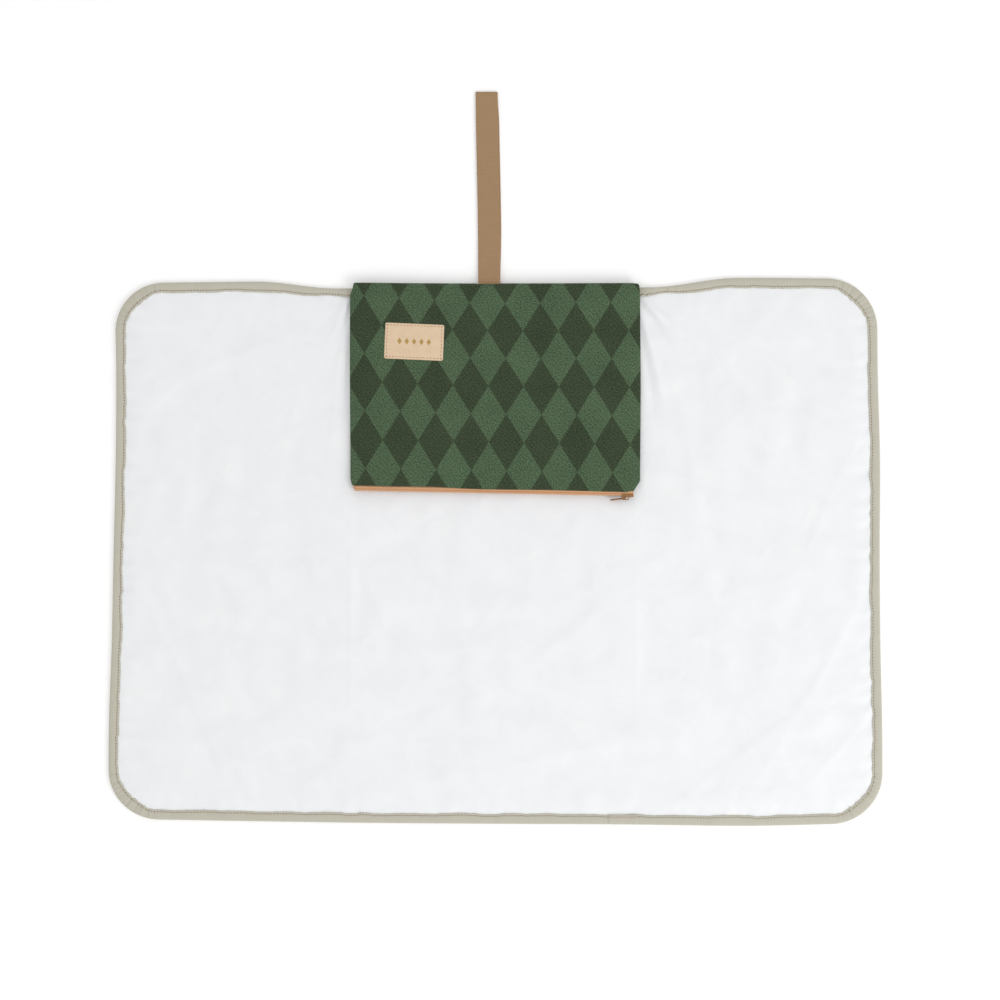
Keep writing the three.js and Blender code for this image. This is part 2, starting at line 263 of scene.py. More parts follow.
def closed_sheet(
    name: str,
    upper: Array,
    lower: Array,
    finish: "Finish",
    cloth: Array,
    keep: Array | None = None,
) -> bpy.types.Object:
    """Makes a closed layer from two grids of points, with a rim round the kept cells.

    Args:
        name: the piece's name.
        upper, lower: grids of points, rows along x and columns along y.
        finish: its material.
        cloth: each grid point's place on the flat cloth.
        keep: which cells of the grid are cloth, all of them if it is left out.

    Returns:
        The linked object.
    """
    rows, columns = upper.shape[:2]
    number = np.arange(rows * columns).reshape(rows, columns)
    cells = np.stack([number[:-1, :-1], number[1:, :-1], number[1:, 1:], number[:-1, 1:]], -1)
    cells = cells.reshape(-1, 4) if keep is None else cells[keep]
    used = np.unique(cells)
    renumber = np.full(rows * columns, -1)
    renumber[used] = np.arange(len(used))
    top = renumber[cells]
    count = len(used)
    bottom = top[:, ::-1] + count
    edges = np.concatenate([top[:, [i, (i + 1) % 4]] for i in range(4)])
    keys = np.sort(edges, 1)
    _, place, uses = np.unique(keys, axis=0, return_index=True, return_counts=True)
    border = edges[place[uses == 1]]
    rim = [(b, a, a + count, b + count) for a, b in border.tolist()]
    points = np.concatenate([upper.reshape(-1, 3)[used], lower.reshape(-1, 3)[used]])
    flat = np.tile(cloth.reshape(-1, 2)[used], (2, 1))
    sharp = [(a, b) for a, b in border.tolist()] + [(a + count, b + count) for a, b in border.tolist()]
    faces = top.tolist() + bottom.tolist() + rim
    return make_mesh(name, points, faces, finish, flat, sharp)


def swept(
    name: str, rings: Array, finish: "Finish", cloth: Array | None = None
) -> bpy.types.Object:
    """Makes a closed tube of rings with capped ends.

    Args:
        name: the piece's name.
        rings: one ring of points for each station, anticlockwise seen from the path's start.
        finish: its material.
        cloth: each ring point's place on the flat cloth.

    Returns:
        The linked object.
    """
    count, around = rings.shape[:2]
    number = np.arange(count * around).reshape(count, around)
    turned = np.roll(number, -1, axis=1)
    walls = np.stack([number[:-1], number[1:], turned[1:], turned[:-1]], -1).reshape(-1, 4)
    caps = [number[0].tolist(), number[-1][::-1].tolist()]
    sharp = [(int(a), int(b)) for ring in (0, -1) for a, b in zip(number[ring], turned[ring])]
    flat = None if cloth is None else cloth.reshape(-1, 2)
    return make_mesh(name, rings.reshape(-1, 3), walls.tolist() + caps, finish, flat, sharp)


def chains(name: str, paths: Sequence[Array]) -> bpy.types.Object:
    """Makes open chains of edges, for a Geometry Nodes tree to follow.

    Args:
        name: the object's name.
        paths: one chain of points each, in millimetres.

    Returns:
        The linked object.
    """
    mesh = bpy.data.meshes.new(name)
    points = np.concatenate(paths)
    ends = np.cumsum([len(path) for path in paths])
    edges = [(i, i + 1) for i in range(len(points) - 1) if i + 1 not in ends]
    mesh.from_pydata((points * MM).tolist(), edges, [])
    return add_object(name, mesh)


def plain_mesh(source: bpy.types.Object, name: str) -> bpy.types.Object:
    """Turns an object and its modifiers into a plain mesh object, and removes the source.

    Args:
        source: the object with its modifiers.
        name: the new object's name.

    Returns:
        The linked object.
    """
    graph = bpy.context.evaluated_depsgraph_get()
    graph.update()
    mesh = bpy.data.meshes.new_from_object(source.evaluated_get(graph))
    bpy.data.objects.remove(source)
    mesh.name = name
    return add_object(name, mesh)


@dataclass(frozen=True)
class Fold:
    """Cloth that turns from one body to the next between two points, in metres."""

    a: Body
    b: Body
    start: tuple[float, float, float]
    end: tuple[float, float, float]


def hand_over(
    piece: bpy.types.Object, place: "Body | Fold", nodes: Sequence[str] = ()
) -> bpy.types.Object:
    """Lets a finished piece ride on a body, or bakes its place into its mesh where it lies across a fold.

    Args:
        piece: the piece, with its final mesh.
        place: the body, or the fold between two bodies.
        nodes: the CAD nodes that it stands for.

    Returns:
        The piece.
    """
    if isinstance(place, Fold):
        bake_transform(piece)
        LOG.info("%s bends from %s to %s", piece.name, place.a.value, place.b.value)
    else:
        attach(piece, place.value)
        LOG.info("%s rides on %s", piece.name, place.value)
    if nodes:
        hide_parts(*nodes)
    return piece


# ---- Finishes ---------------------------------------------------------------------------------


@dataclass(frozen=True)
class Finish:
    """A plain finish, and what every finish shares."""

    name: str
    colour: str
    roughness: float

    def material(self) -> bpy.types.Material:
        """Makes the finish's material once.

        Returns:
            The material.
        """
        made = bpy.data.materials.get(self.name)
        if made is None:
            made = bpy.data.materials.new(self.name)
            made.use_nodes = True
            shader = made.node_tree.nodes["Principled BSDF"]
            shader.inputs["Base Color"].default_value = linear(self.colour)
            shader.inputs["Roughness"].default_value = self.roughness
            self.dress(made.node_tree, shader)
        return made

    def dress(self, tree: bpy.types.NodeTree, shader: bpy.types.Node) -> None:
        """Adds what the finish shows beyond its colour and roughness.

        Args:
            tree: the material's tree.
            shader: the tree's Principled BSDF.
        """

    def cloth_place(self, tree: bpy.types.NodeTree) -> Socket:
        """The place on the flat cloth, in millimetres."""
        uv = add_node(tree, "ShaderNodeUVMap", uv_map="cloth")
        return add_node(tree, "ShaderNodeMapping", {"Vector": uv, "Scale": (1 / MM, 1 / MM, 1 / MM)})

    def object_place(self, tree: bpy.types.NodeTree) -> Socket:
        """The place in the row frame, in millimetres."""
        here = add_node(tree, "ShaderNodeTexCoord", out="Object")
        return add_node(tree, "ShaderNodeMapping", {"Vector": here, "Scale": (1 / MM, 1 / MM, 1 / MM)})

    def emboss(
        self, tree: bpy.types.NodeTree, shader: bpy.types.Node, layers: Sequence[tuple[Socket, float]]
    ) -> None:
        """Raises the surface by one or more reliefs.

        Args:
            tree: the material's tree.
            shader: the tree's Principled BSDF.
            layers: height sockets, each with the depth in millimetres that 0 to 1 spans.
        """
        normal: Socket | None = None
        for height, depth in layers:
            inputs = {"Height": height, "Distance": depth * MM, "Strength": 1.0}
            if normal is not None:
                inputs["Normal"] = normal
            normal = add_node(tree, "ShaderNodeBump", inputs)
        tree.links.new(normal, shader.inputs["Normal"])


@dataclass(frozen=True)
class CoatedSheet(Finish):
    """Wipe-clean coated polyester: a satin white skin over a thread too fine to see."""

    shade: str = "#eceef1"
    crinkle: float = 22.0
    crinkle_depth: float = 0.5
    thread: float = 0.9  # drawn coarser than its true 0.2 mm so that it shows

    def dress(self, tree: bpy.types.NodeTree, shader: bpy.types.Node) -> None:
        """Fine thread, faint crinkles and a thin clear coat.

        Args:
            tree: the material's tree.
            shader: the tree's Principled BSDF.
        """
        place = self.cloth_place(tree)
        crinkle = add_node(
            tree, "ShaderNodeTexNoise",
            {"Vector": place, "Scale": 1 / self.crinkle, "Detail": 3.0, "Distortion": 0.8})
        thread = add_node(
            tree, "ShaderNodeTexNoise", {"Vector": place, "Scale": 1 / self.thread, "Detail": 1.0})
        tone = add_node(
            tree, "ShaderNodeMix", {0: crinkle, 6: linear(self.shade), 7: linear(self.colour)},
            out=2, data_type="RGBA")
        tree.links.new(tone, shader.inputs["Base Color"])
        shader.inputs["Coat Weight"].default_value = 0.15
        shader.inputs["Coat Roughness"].default_value = 0.3
        self.emboss(tree, shader, [(crinkle, self.crinkle_depth), (thread, 0.015)])


@dataclass(frozen=True)
class DiamondCanvas(Finish):
    """Jacquard cotton canvas in two greens: a matt heathered twill with thread-stepped diamonds."""

    dark: str = "#3f4b36"
    diamond: tuple[float, float] = (30.9, 50.6)
    centre: tuple[float, float] = (-97.9, 124.0)  # a light diamond's middle
    ragged: float = 0.022  # how far the yarn steps a diamond's edge, as a share of the diamond
    twill: float = 1.5  # drawn twice as coarse as the real line so that it shows
    heather: float = 1.15  # yarn slubs, drawn a little coarser than the yarn

    def dress(self, tree: bpy.types.NodeTree, shader: bpy.types.Node) -> None:
        """Two-tone diamonds, heathered yarn and the twill's broken diagonal line.

        Args:
            tree: the material's tree.
            shader: the tree's Principled BSDF.
        """
        place = self.cloth_place(tree)
        yarn = add_node(
            tree, "ShaderNodeTexNoise",
            {"Vector": place, "Scale": 1 / self.heather, "Detail": 2.0, "Roughness": 0.7})
        slub = add_node(tree, "ShaderNodeMapRange", {"Value": yarn, "From Min": 0.3, "From Max": 0.7})
        cloud = add_node(tree, "ShaderNodeTexNoise", {"Vector": place, "Scale": 1 / 30, "Detail": 2.0})
        line = add_node(
            tree, "ShaderNodeTexWave",
            {"Vector": place, "Scale": 2 * math.pi / self.twill / 20 / math.sqrt(2), "Distortion": 5.0,
             "Detail": 2.0, "Detail Scale": 1.2},
            out="Fac", bands_direction="DIAGONAL")
        reach = self.reach(tree, place)
        edge = add_node(
            tree, "ShaderNodeMath", {0: slub, 1: self.ragged, 2: reach}, operation="MULTIPLY_ADD")
        in_light = add_node(
            tree, "ShaderNodeMapRange",
            {"Value": edge, "From Min": 0.5, "From Max": 0.5 + self.ragged, "To Min": 1.0, "To Max": 0.0})
        base = add_node(
            tree, "ShaderNodeMix", {0: in_light, 6: linear(self.dark), 7: linear(self.colour)},
            out=2, data_type="RGBA")
        shade: Socket | float = 0.03
        for part, share in ((slub, 1.3), (line, 0.16), (cloud, 0.44)):
            shade = add_node(tree, "ShaderNodeMath", {0: part, 1: share, 2: shade}, operation="MULTIPLY_ADD")
        tone = add_node(tree, "ShaderNodeVectorMath", {0: base, 3: shade}, operation="SCALE")
        tree.links.new(tone, shader.inputs["Base Color"])
        shader.inputs["Sheen Weight"].default_value = 0.05
        shader.inputs["Specular IOR Level"].default_value = 0.2
        self.emboss(tree, shader, [(line, 0.08), (slub, 0.08)])

    def reach(self, tree: bpy.types.NodeTree, place: Socket) -> Socket:
        """How far a place is from its diamond's middle: under 0.5 inside a light diamond.

        Args:
            tree: the material's tree.
            place: the place on the cloth, in millimetres.

        Returns:
            The output with that distance, counted in diamonds.
        """
        moved = add_node(
            tree, "ShaderNodeMapping", {"Vector": place, "Location": (-self.centre[0], -self.centre[1], 0)})
        counted = add_node(
            tree, "ShaderNodeMapping",
            {"Vector": moved, "Scale": (1 / self.diamond[0], 1 / self.diamond[1], 1)})
        half = add_node(tree, "ShaderNodeVectorMath", {0: counted, 1: (0.5, 0.5, 0.0)}, operation="ADD")
        share = add_node(tree, "ShaderNodeVectorMath", {0: half}, operation="FRACTION")
        centred = add_node(tree, "ShaderNodeVectorMath", {0: share, 1: (0.5, 0.5, 0.0)}, operation="SUBTRACT")
        size = add_node(tree, "ShaderNodeVectorMath", {0: centred}, operation="ABSOLUTE")
        return add_node(
            tree, "ShaderNodeVectorMath", {0: size, 1: (1.0, 1.0, 0.0)}, out="Value",
            operation="DOT_PRODUCT")


@dataclass(frozen=True)
class WovenTape(Finish):
    """Narrow woven tape: a matt ribbed weave along or across it, with slight shade changes."""

    rib: float = 1.0
    across: bool = True  # the ribs cross the tape
    depth: float = 0.12
    shade: str = "#000000"
    contrast: float = 0.3
    cloud: float = 9.0

    def dress(self, tree: bpy.types.NodeTree, shader: bpy.types.Node) -> None:
        """Ribs, fleck and soft shade changes along the tape.

        Args:
            tree: the material's tree.
            shader: the tree's Principled BSDF.
        """
        place = self.cloth_place(tree)
        yarn = add_node(tree, "ShaderNodeTexNoise", {"Vector": place, "Scale": 1.2, "Detail": 2.0})
        fleck = add_node(tree, "ShaderNodeMapRange", {"Value": yarn, "From Min": 0.3, "From Max": 0.7})
        cloud = add_node(
            tree, "ShaderNodeTexNoise", {"Vector": place, "Scale": 1 / self.cloud, "Detail": 2.0})
        rib = add_node(
            tree, "ShaderNodeTexWave",
            {"Vector": place, "Scale": 2 * math.pi / self.rib / 20, "Distortion": 0.8, "Detail": 1.0},
            out="Fac", bands_direction="X" if self.across else "Y")
        dark: Socket | float = 1.0
        for part, share in ((rib, -0.30), (fleck, -0.40), (cloud, -0.30)):
            dark = add_node(tree, "ShaderNodeMath", {0: part, 1: share, 2: dark}, operation="MULTIPLY_ADD")
        amount = add_node(tree, "ShaderNodeMath", {0: dark, 1: self.contrast}, operation="MULTIPLY")
        tone = add_node(
            tree, "ShaderNodeMix", {0: amount, 6: linear(self.colour), 7: linear(self.shade)},
            out=2, data_type="RGBA")
        tree.links.new(tone, shader.inputs["Base Color"])
        shader.inputs["Specular IOR Level"].default_value = 0.25
        self.emboss(tree, shader, [(rib, self.depth), (fleck, 0.05)])


@dataclass(frozen=True)
class Leather(Finish):
    """Undyed vegetable-tanned leather: pale, close-grained, a soft sheen and faint mottling."""

    shade: str = "#d9bb98"

    def dress(self, tree: bpy.types.NodeTree, shader: bpy.types.Node) -> None:
        """Mottling and fine grain.

        Args:
            tree: the material's tree.
            shader: the tree's Principled BSDF.
        """
        place = self.object_place(tree)
        mottle = add_node(tree, "ShaderNodeTexNoise", {"Vector": place, "Scale": 1 / 6, "Detail": 4.0})
        pore = add_node(tree, "ShaderNodeTexNoise", {"Vector": place, "Scale": 1.3, "Detail": 3.0})
        tone = add_node(
            tree, "ShaderNodeMix", {0: mottle, 6: linear(self.shade), 7: linear(self.colour)},
            out=2, data_type="RGBA")
        tree.links.new(tone, shader.inputs["Base Color"])
        self.emboss(tree, shader, [(mottle, 0.1), (pore, 0.06)])


@dataclass(frozen=True)
class CastMetal(Finish):
    """Die-cast zinc with an antique brass plating: warm, satin, browned in patches."""

    tarnish: str = "#4f3a22"

    def dress(self, tree: bpy.types.NodeTree, shader: bpy.types.Node) -> None:
        """Browned patches that are also rougher.

        Args:
            tree: the material's tree.
            shader: the tree's Principled BSDF.
        """
        place = self.object_place(tree)
        patch = add_node(tree, "ShaderNodeTexNoise", {"Vector": place, "Scale": 0.6, "Detail": 3.0})
        tone = add_node(
            tree, "ShaderNodeMix", {0: patch, 6: linear(self.tarnish), 7: linear(self.colour)},
            out=2, data_type="RGBA")
        tree.links.new(tone, shader.inputs["Base Color"])
        rough = add_node(
            tree, "ShaderNodeMapRange",
            {"Value": patch, "To Min": self.roughness + 0.12, "To Max": self.roughness - 0.08})
        tree.links.new(rough, shader.inputs["Roughness"])
        shader.inputs["Metallic"].default_value = 1.0
        self.emboss(tree, shader, [(patch, 0.02)])


@dataclass(frozen=True)
class Fibre(Finish):
    """Loose or fine fibre: sewing thread, moulded coil or needled wadding."""

    fleck: float = 0.5
    shade: str = "#808080"
    depth: float = 0.05

    def dress(self, tree: bpy.types.NodeTree, shader: bpy.types.Node) -> None:
        """A fleck of shade and relief.

        Args:
            tree: the material's tree.
            shader: the tree's Principled BSDF.
        """
        place = self.object_place(tree)
        fleck = add_node(
            tree, "ShaderNodeTexNoise", {"Vector": place, "Scale": 1 / self.fleck, "Detail": 2.0})
        tone = add_node(
            tree, "ShaderNodeMix", {0: fleck, 6: linear(self.shade), 7: linear(self.colour)},
            out=2, data_type="RGBA")
        tree.links.new(tone, shader.inputs["Base Color"])
        self.emboss(tree, shader, [(fleck, self.depth)])


# coated polyester taffeta: smooth and faintly glossy, so folds show as soft light and shade
TOP_SHEET = CoatedSheet("coated_polyester_white", "#f8f8f8", 0.4)
# cotton jacquard: no gloss, a dry speckle of two yarn colours
CANVAS = DiamondCanvas("diamond_jacquard_canvas", "#4d6147", 0.9, dark="#394531")
# cotton bias tape: matt, slightly greyed
BINDING = WovenTape("sage_bias_tape", "#ccc9bb", 0.8, rib=0.9, depth=0.05, shade="#948d78", contrast=0.4)
# cotton webbing: cross ribs that catch light one by one
WEBBING = WovenTape("tan_webbing", "#ae8e6c", 0.75, rib=1.5, depth=0.16, shade="#7c5d40", contrast=0.42)
# polyester zip tape: ribs along it, brighter than the cloth round it
ZIP_TAPE = WovenTape("copper_zip_tape", "#e0ae85", 0.65, rib=0.9, across=False, depth=0.1,
                     shade="#8f5f3c", contrast=0.45)
# plain-woven lining: a quiet pale inside
LINING = WovenTape("stone_lining_cloth", "#cfc8b8", 0.8, rib=0.8, shade="#a39b89")
# leather: a soft even sheen
LEATHER = Leather("undyed_leather", "#e7ceb0", 0.6)
# plated zinc: warm highlights, brown hollows
BRASS = CastMetal("antique_brass_plating", "#c79a68", 0.36, tarnish="#6d4c30")
# stamped foil: a muted yellow glint
GOLD = CastMetal("gold_foil_print", "#cbab6c", 0.4, tarnish="#b08e52")
# nylon monofilament: small bright highlights on every turn
COIL = Fibre("copper_nylon_coil", "#e3aa7e", 0.4, fleck=0.4, shade="#c48a5e", depth=0.02)
# spun polyester thread: slightly darker than the tape it holds
SEWING_THREAD = Fibre("sewing_thread_khaki", "#cfc5ad", 0.7, fleck=0.4, shade="#a2947a")
# painted shadow of the needle holes: dark blobs, since only shadow shows in them
NEEDLE_HOLE_SHADE = Fibre("needle_hole_shadow", "#83705a", 0.95, fleck=0.4, shade="#67563f")
LABEL_THREAD = Fibre("sewing_thread_tan", "#b18a5e", 0.7, fleck=0.4, shade="#8d6a42")
# needled polyester: a dull loft of crossed fibre
WADDING = Fibre("needled_polyester_wadding", "#f4f3ef", 0.95, fleck=1.5, shade="#dddbd5", depth=0.4)


# ---- Repeated small pieces ---------------------------------------------------------------------


@dataclass
class RepeatAlong:
    """A Geometry Nodes tree that repeats one small shape along a chain of edges.

    Args:
        name: the tree's name.
        shape: adds the shape's nodes to the tree and returns its mesh output.
    """

    name: str
    shape: Callable[[bpy.types.NodeTree, Socket, Socket], Socket]
    sockets: dict[str, str] = field(default_factory=dict)
    tree: bpy.types.NodeTree | None = None

    def build(self) -> bpy.types.NodeTree:
        """Builds the tree once: resample, place, realize and set the material.

        Returns:
            The tree.
        """
        if self.tree is not None:
            return self.tree
        tree = bpy.data.node_groups.new(self.name, "GeometryNodeTree")
        kinds = {
            "Geometry": "NodeSocketGeometry",
            "Pitch": "NodeSocketFloat",
            "Length": "NodeSocketFloat",
            "Thickness": "NodeSocketFloat",
            "Material": "NodeSocketMaterial",
        }
        for label, kind in kinds.items():
            made = tree.interface.new_socket(label, in_out="INPUT", socket_type=kind)
            self.sockets[label] = made.identifier
        tree.interface.new_socket("Geometry", in_out="OUTPUT", socket_type="NodeSocketGeometry")
        given = tree.nodes.new("NodeGroupInput").outputs
        curve = add_node(tree, "GeometryNodeMeshToCurve", {"Mesh": given["Geometry"]})
        even = add_node(
            tree, "GeometryNodeResampleCurve", {"Curve": curve, "Length": given["Pitch"]}, mode="LENGTH")
        tangent = add_node(tree, "GeometryNodeInputTangent")
        turn = add_node(tree, "FunctionNodeAlignRotationToVector", {"Vector": tangent}, axis="X")
        shape = self.shape(tree, given["Length"], given["Thickness"])
        copies = add_node(
            tree, "GeometryNodeInstanceOnPoints", {"Points": even, "Instance": shape, "Rotation": turn})
        real = add_node(tree, "GeometryNodeRealizeInstances", {"Geometry": copies})
        dressed = add_node(
            tree, "GeometryNodeSetMaterial", {"Geometry": real, "Material": given["Material"]})
        add_node(tree, "NodeGroupOutput", {"Geometry": dressed})
        self.tree = tree
        return tree

    def along(
        self, name: str, paths: Sequence[Array], pitch: float, length: float, thickness: float, finish: Finish
    ) -> bpy.types.Object:
        """Repeats the shape along one or more paths, as one plain mesh.

        Args:
            name: the piece's name.
            paths: chains of points, in millimetres.
            pitch: the step along a path.
            length: the shape's length along the path.
            thickness: its thickness.
            finish: its material.

        Returns:
            The linked object.
        """
        chain = chains(name + "_path", paths)
        modifier = chain.modifiers.new("repeat", "NODES")
        modifier.node_group = self.build()
        values = {"Pitch": pitch * MM, "Length": length * MM, "Thickness": thickness * MM}
        for label, value in values.items():
            modifier[self.sockets[label]] = float(value)
        modifier[self.sockets["Material"]] = finish.material()
        made = plain_mesh(chain, name)
        made.data.polygons.foreach_set("use_smooth", [True] * len(made.data.polygons))
        return made


def stitch_shape(tree: bpy.types.NodeTree, length: Socket, thickness: Socket) -> Socket:
    """One stitch: a short thread that dives into the cloth at both ends.

    Args:
        tree: the tree that repeats it.
        length: the output with its length.
        thickness: the output with its thickness.

    Returns:
        The output with its mesh.
    """
    ball = add_node(tree, "GeometryNodeMeshUVSphere", {"Segments": 6, "Rings": 5, "Radius": 0.5})
    size = add_node(tree, "ShaderNodeCombineXYZ", {"X": length, "Y": thickness, "Z": thickness})
    return add_node(tree, "GeometryNodeTransform", {"Geometry": ball, "Scale": size})


def link_shape(tree: bpy.types.NodeTree, length: Socket, thickness: Socket) -> Socket:
    """One turn of the zip's coil: a leaning oval of monofilament that faces along the path.

    Args:
        tree: the tree that repeats it.
        length: the output with its length.
        thickness: the output with its thickness.

    Returns:
        The output with its mesh.
    """
    oval = add_node(tree, "GeometryNodeCurvePrimitiveCircle", {"Resolution": 12, "Radius": 1.0})
    tall = add_node(tree, "ShaderNodeMath", {0: length, 1: 0.68}, operation="MULTIPLY")
    size = add_node(tree, "ShaderNodeCombineXYZ", {"X": tall, "Y": length, "Z": 1.0})
    inputs = {"Geometry": oval, "Rotation": (0.0, math.pi / 2, 0.22), "Scale": size}
    ring = add_node(tree, "GeometryNodeTransform", inputs)
    wire = add_node(tree, "GeometryNodeCurvePrimitiveCircle", {"Resolution": 6, "Radius": thickness})
    return add_node(tree, "GeometryNodeCurveToMesh", {"Curve": ring, "Profile Curve": wire})


STITCHES = RepeatAlong("stitch_row", stitch_shape)
COIL_LINKS = RepeatAlong("coil_row", link_shape)


# ---- Mat --------------------------------------------------------------------------------------


@dataclass(frozen=True)
class Crease:
    """One long soft wrinkle of the top sheet."""

    x: float
    y: float
    heading: float  # degrees
    length: float
    width: float
    height: float
    bow: float = 0.0

    def relief(self, x: Array, y: Array) -> Array:
        """The wrinkle's height.

        Args:
            x, y: where to read it, on the straight plan.

        Returns:
            The height at each point.
        """
        angle = math.radians(self.heading)
        along = (x - self.x) * math.cos(angle) + (y - self.y) * math.sin(angle)
        off = (y - self.y) * math.cos(angle) - (x - self.x) * math.sin(angle)
        off = off + self.bow * (along / self.length) ** 2
        ridge = 1 / (1 + (off / (0.42 * self.width)) ** 2) ** 1.5
        return self.height * ridge * np.exp(-((1.6 * along / self.length) ** 2))


@dataclass
class MatPlan:
    """The mat seen from above: a round-cornered rectangle, drawn in a little along its sides.

    Pieces are laid out on the straight plan and then swayed to the drawn-in one.
    """

    half_x: float = float(corners("binding_right")[1, 0])
    half_y: float = float(corners("binding_right")[1, 1])
    corner: float = 44.0
    rear_dip: float = (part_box("binding_right")[1][1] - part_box("binding_rear")[1][1]) / MM
    dip_reach: tuple[float, float] = (140.0, 215.0)
    split_x: float = 120.0  # where the centre's pieces end and the wings' pieces begin
    # how far each side draws in, at even stations from one corner to the next
    left_draw: tuple[float, ...] = (1.0, 1.0, 3.6, 5.2, 7.0, 7.5, 6.0)
    right_draw: tuple[float, ...] = (0.0, 0.0, 1.7, 2.3, 2.0, 4.0, 4.5)
    front_draw: tuple[float, ...] = (6.0, 4.3, 2.6, 1.8, 1.2, 0.0, 2.5)
    rear_draw: tuple[float, ...] = (3.5, 2.4, 1.0, 0.0, 0.5, -1.0, 0.0)

    def inside(self, x: Array, y: Array) -> Array:
        """How far points lie inside the edge.

        Args:
            x, y: the points, on the straight plan.

        Returns:
            The distance of each, less than 0 outside.
        """
        qx = np.abs(x) - (self.half_x - self.corner)
        qy = np.abs(y) - (self.half_y - self.corner)
        beyond = np.hypot(np.maximum(qx, 0), np.maximum(qy, 0)) + np.minimum(np.maximum(qx, qy), 0)
        return self.corner - beyond

    def tuck(self, x: Array, y: Array, inset: float) -> tuple[Array, Array]:
        """Moves the points that lie outside an inset line onto it.

        Args:
            x, y: the points, on the straight plan.
            inset: how far inside the edge the line runs.

        Returns:
            The points' x and y.
        """
        core_x = np.clip(x, self.corner - self.half_x, self.half_x - self.corner)
        core_y = np.clip(y, self.corner - self.half_y, self.half_y - self.corner)
        dx, dy = x - core_x, y - core_y
        reach = np.maximum(np.hypot(dx, dy), 1e-9)
        scale = np.minimum(1.0, (self.corner - inset) / reach)
        return core_x + dx * scale, core_y + dy * scale

    def sway(self, x: Array, y: Array) -> tuple[Array, Array]:
        """Moves points of the straight plan to the drawn-in plan.

        Args:
            x, y: the points.

        Returns:
            Their x and y in the row frame.
        """
        along_x = (x / self.half_x + 1) / 2
        along_y = (y / self.half_y + 1) / 2
        side = np.where(x < 0, through(self.left_draw, along_y), through(self.right_draw, along_y))
        end = np.where(y < 0, through(self.front_draw, along_x), through(self.rear_draw, along_x))
        inner, outer = self.dip_reach
        dip = self.rear_dip * smooth((outer - np.abs(x)) / (outer - inner))
        dip = dip * smooth((y - 0.6 * self.half_y) / (0.4 * self.half_y))
        return x * (1 - side / self.half_x), y * (1 - end / self.half_y) - dip

    def gather(self, x: Array, y: Array) -> Array:
        """Where the sheet bunches against the binding.

        Args:
            x, y: where to read it, on the straight plan.

        Returns:
            A share for each point, positive where the sheet swells over the tape.
        """
        along_side = np.abs(x) / self.half_x > np.abs(y) / self.half_y
        run = np.where(along_side, y, x)
        side = np.where(along_side, 1.0, 0.35)
        return side * drift(run, 0 * run + 5 * np.sign(x), 14, 8)

    def edge(self, piece: str, pitch: float = 1.0) -> tuple[Array, Array]:
        """A stretch of the straight plan's edge, anticlockwise from above.

        Args:
            piece: "front", "right", "rear" or "left".
            pitch: the spacing of its points.

        Returns:
            The points and their inward directions.
        """
        split, hx, hy = self.split_x, self.half_x, self.half_y
        cx, cy = hx - self.corner, hy - self.corner

        def line(start: tuple[float, float], end: tuple[float, float]) -> tuple[Array, Array]:
            """A straight run and its inward direction, a quarter turn left of its heading."""
            length = math.dist(start, end)
            points = np.linspace(start, end, max(2, int(length / pitch) + 1))
            inward = [(start[1] - end[1]) / length, (end[0] - start[0]) / length]
            return points, np.tile(inward, (len(points), 1))

        def arc(middle: tuple[float, float], start: float) -> tuple[Array, Array]:
            """A quarter turn from an angle, about a corner's middle, and its inward directions."""
            angle = np.linspace(start, start + math.pi / 2, int(self.corner * math.pi / 2 / pitch) + 1)
            out = np.column_stack([np.cos(angle), np.sin(angle)])
            return np.array(middle) + self.corner * out, -out

        if piece in ("front", "rear"):
            runs = [line((-split, -hy), (split, -hy))]
        else:
            runs = [line((split, -hy), (cx, -hy)), arc((cx, -cy), -math.pi / 2), line((hx, -cy), (hx, cy)),
                    arc((cx, cy), 0), line((cx, hy), (split, hy))]
        half_turn = -1 if piece in ("rear", "left") else 1
        points = np.concatenate([runs[0][0]] + [run[0][1:] for run in runs[1:]])
        inward = np.concatenate([runs[0][1]] + [run[1][1:] for run in runs[1:]])
        return half_turn * points, half_turn * inward


# where a wing's cloth starts and stops bending, before and after its hinge, in hinge heights
FOLD_BEFORE, FOLD_AFTER = 0.6, 1.3
FOLD_EASE = 0.6  # how much of the longer way round the closed fold the underside's pattern allows for


class Column(Enum):
    """The mat's three columns: the body that each rides on, and what bends into it."""

    LEFT = "left"
    CENTRE = "centre"
    RIGHT = "right"

    def place(self) -> "Body | Fold":
        """What this column's pieces ride on.

        Returns:
            The centre's body, or the fold beside it.
        """
        if self is Column.CENTRE:
            return Body.CENTRE
        body, sign, line, height = self.hinge()
        start, end = line - sign * FOLD_BEFORE * height, line + sign * FOLD_AFTER * height
        return Fold(Body.CENTRE, body, (start, 0, 0), (end, 0, 0))

    def hinge(self) -> tuple[Body, int, float, float]:
        """Where a wing hinges.

        Returns:
            Its body, its side (-1 or 1), and its hinge's x and height in metres.
        """
        body = Body.LEFT if self is Column.LEFT else Body.RIGHT
        place = next(j for j in frame["joints"] if j["child"] == body.value)["pos_m"]
        return body, -1 if self is Column.LEFT else 1, place[0], place[2]

    def round_fold(self, x: Array) -> Array:
        """Where the underside's points lie along its cloth, which is eased for the way round the fold.

        Args:
            x: their x on the straight plan, in millimetres.

        Returns:
            Their place along the cloth, between the flat length and the closed fold's outside.
        """
        if self is Column.CENTRE:
            return x
        _, sign, line, height = self.hinge()
        height /= MM
        t = np.linspace(0, 1, 60)
        bend = (FOLD_BEFORE + FOLD_AFTER) * height
        along, angle = bend * t - FOLD_BEFORE * height, math.pi * smooth(t)
        path = np.column_stack([
            along * np.cos(angle) + height * np.sin(angle), along * np.sin(angle) - height * np.cos(angle)])
        way = distances(path)
        return x + sign * np.interp(sign * (x - line / MM), along, FOLD_EASE * (way - bend * t))


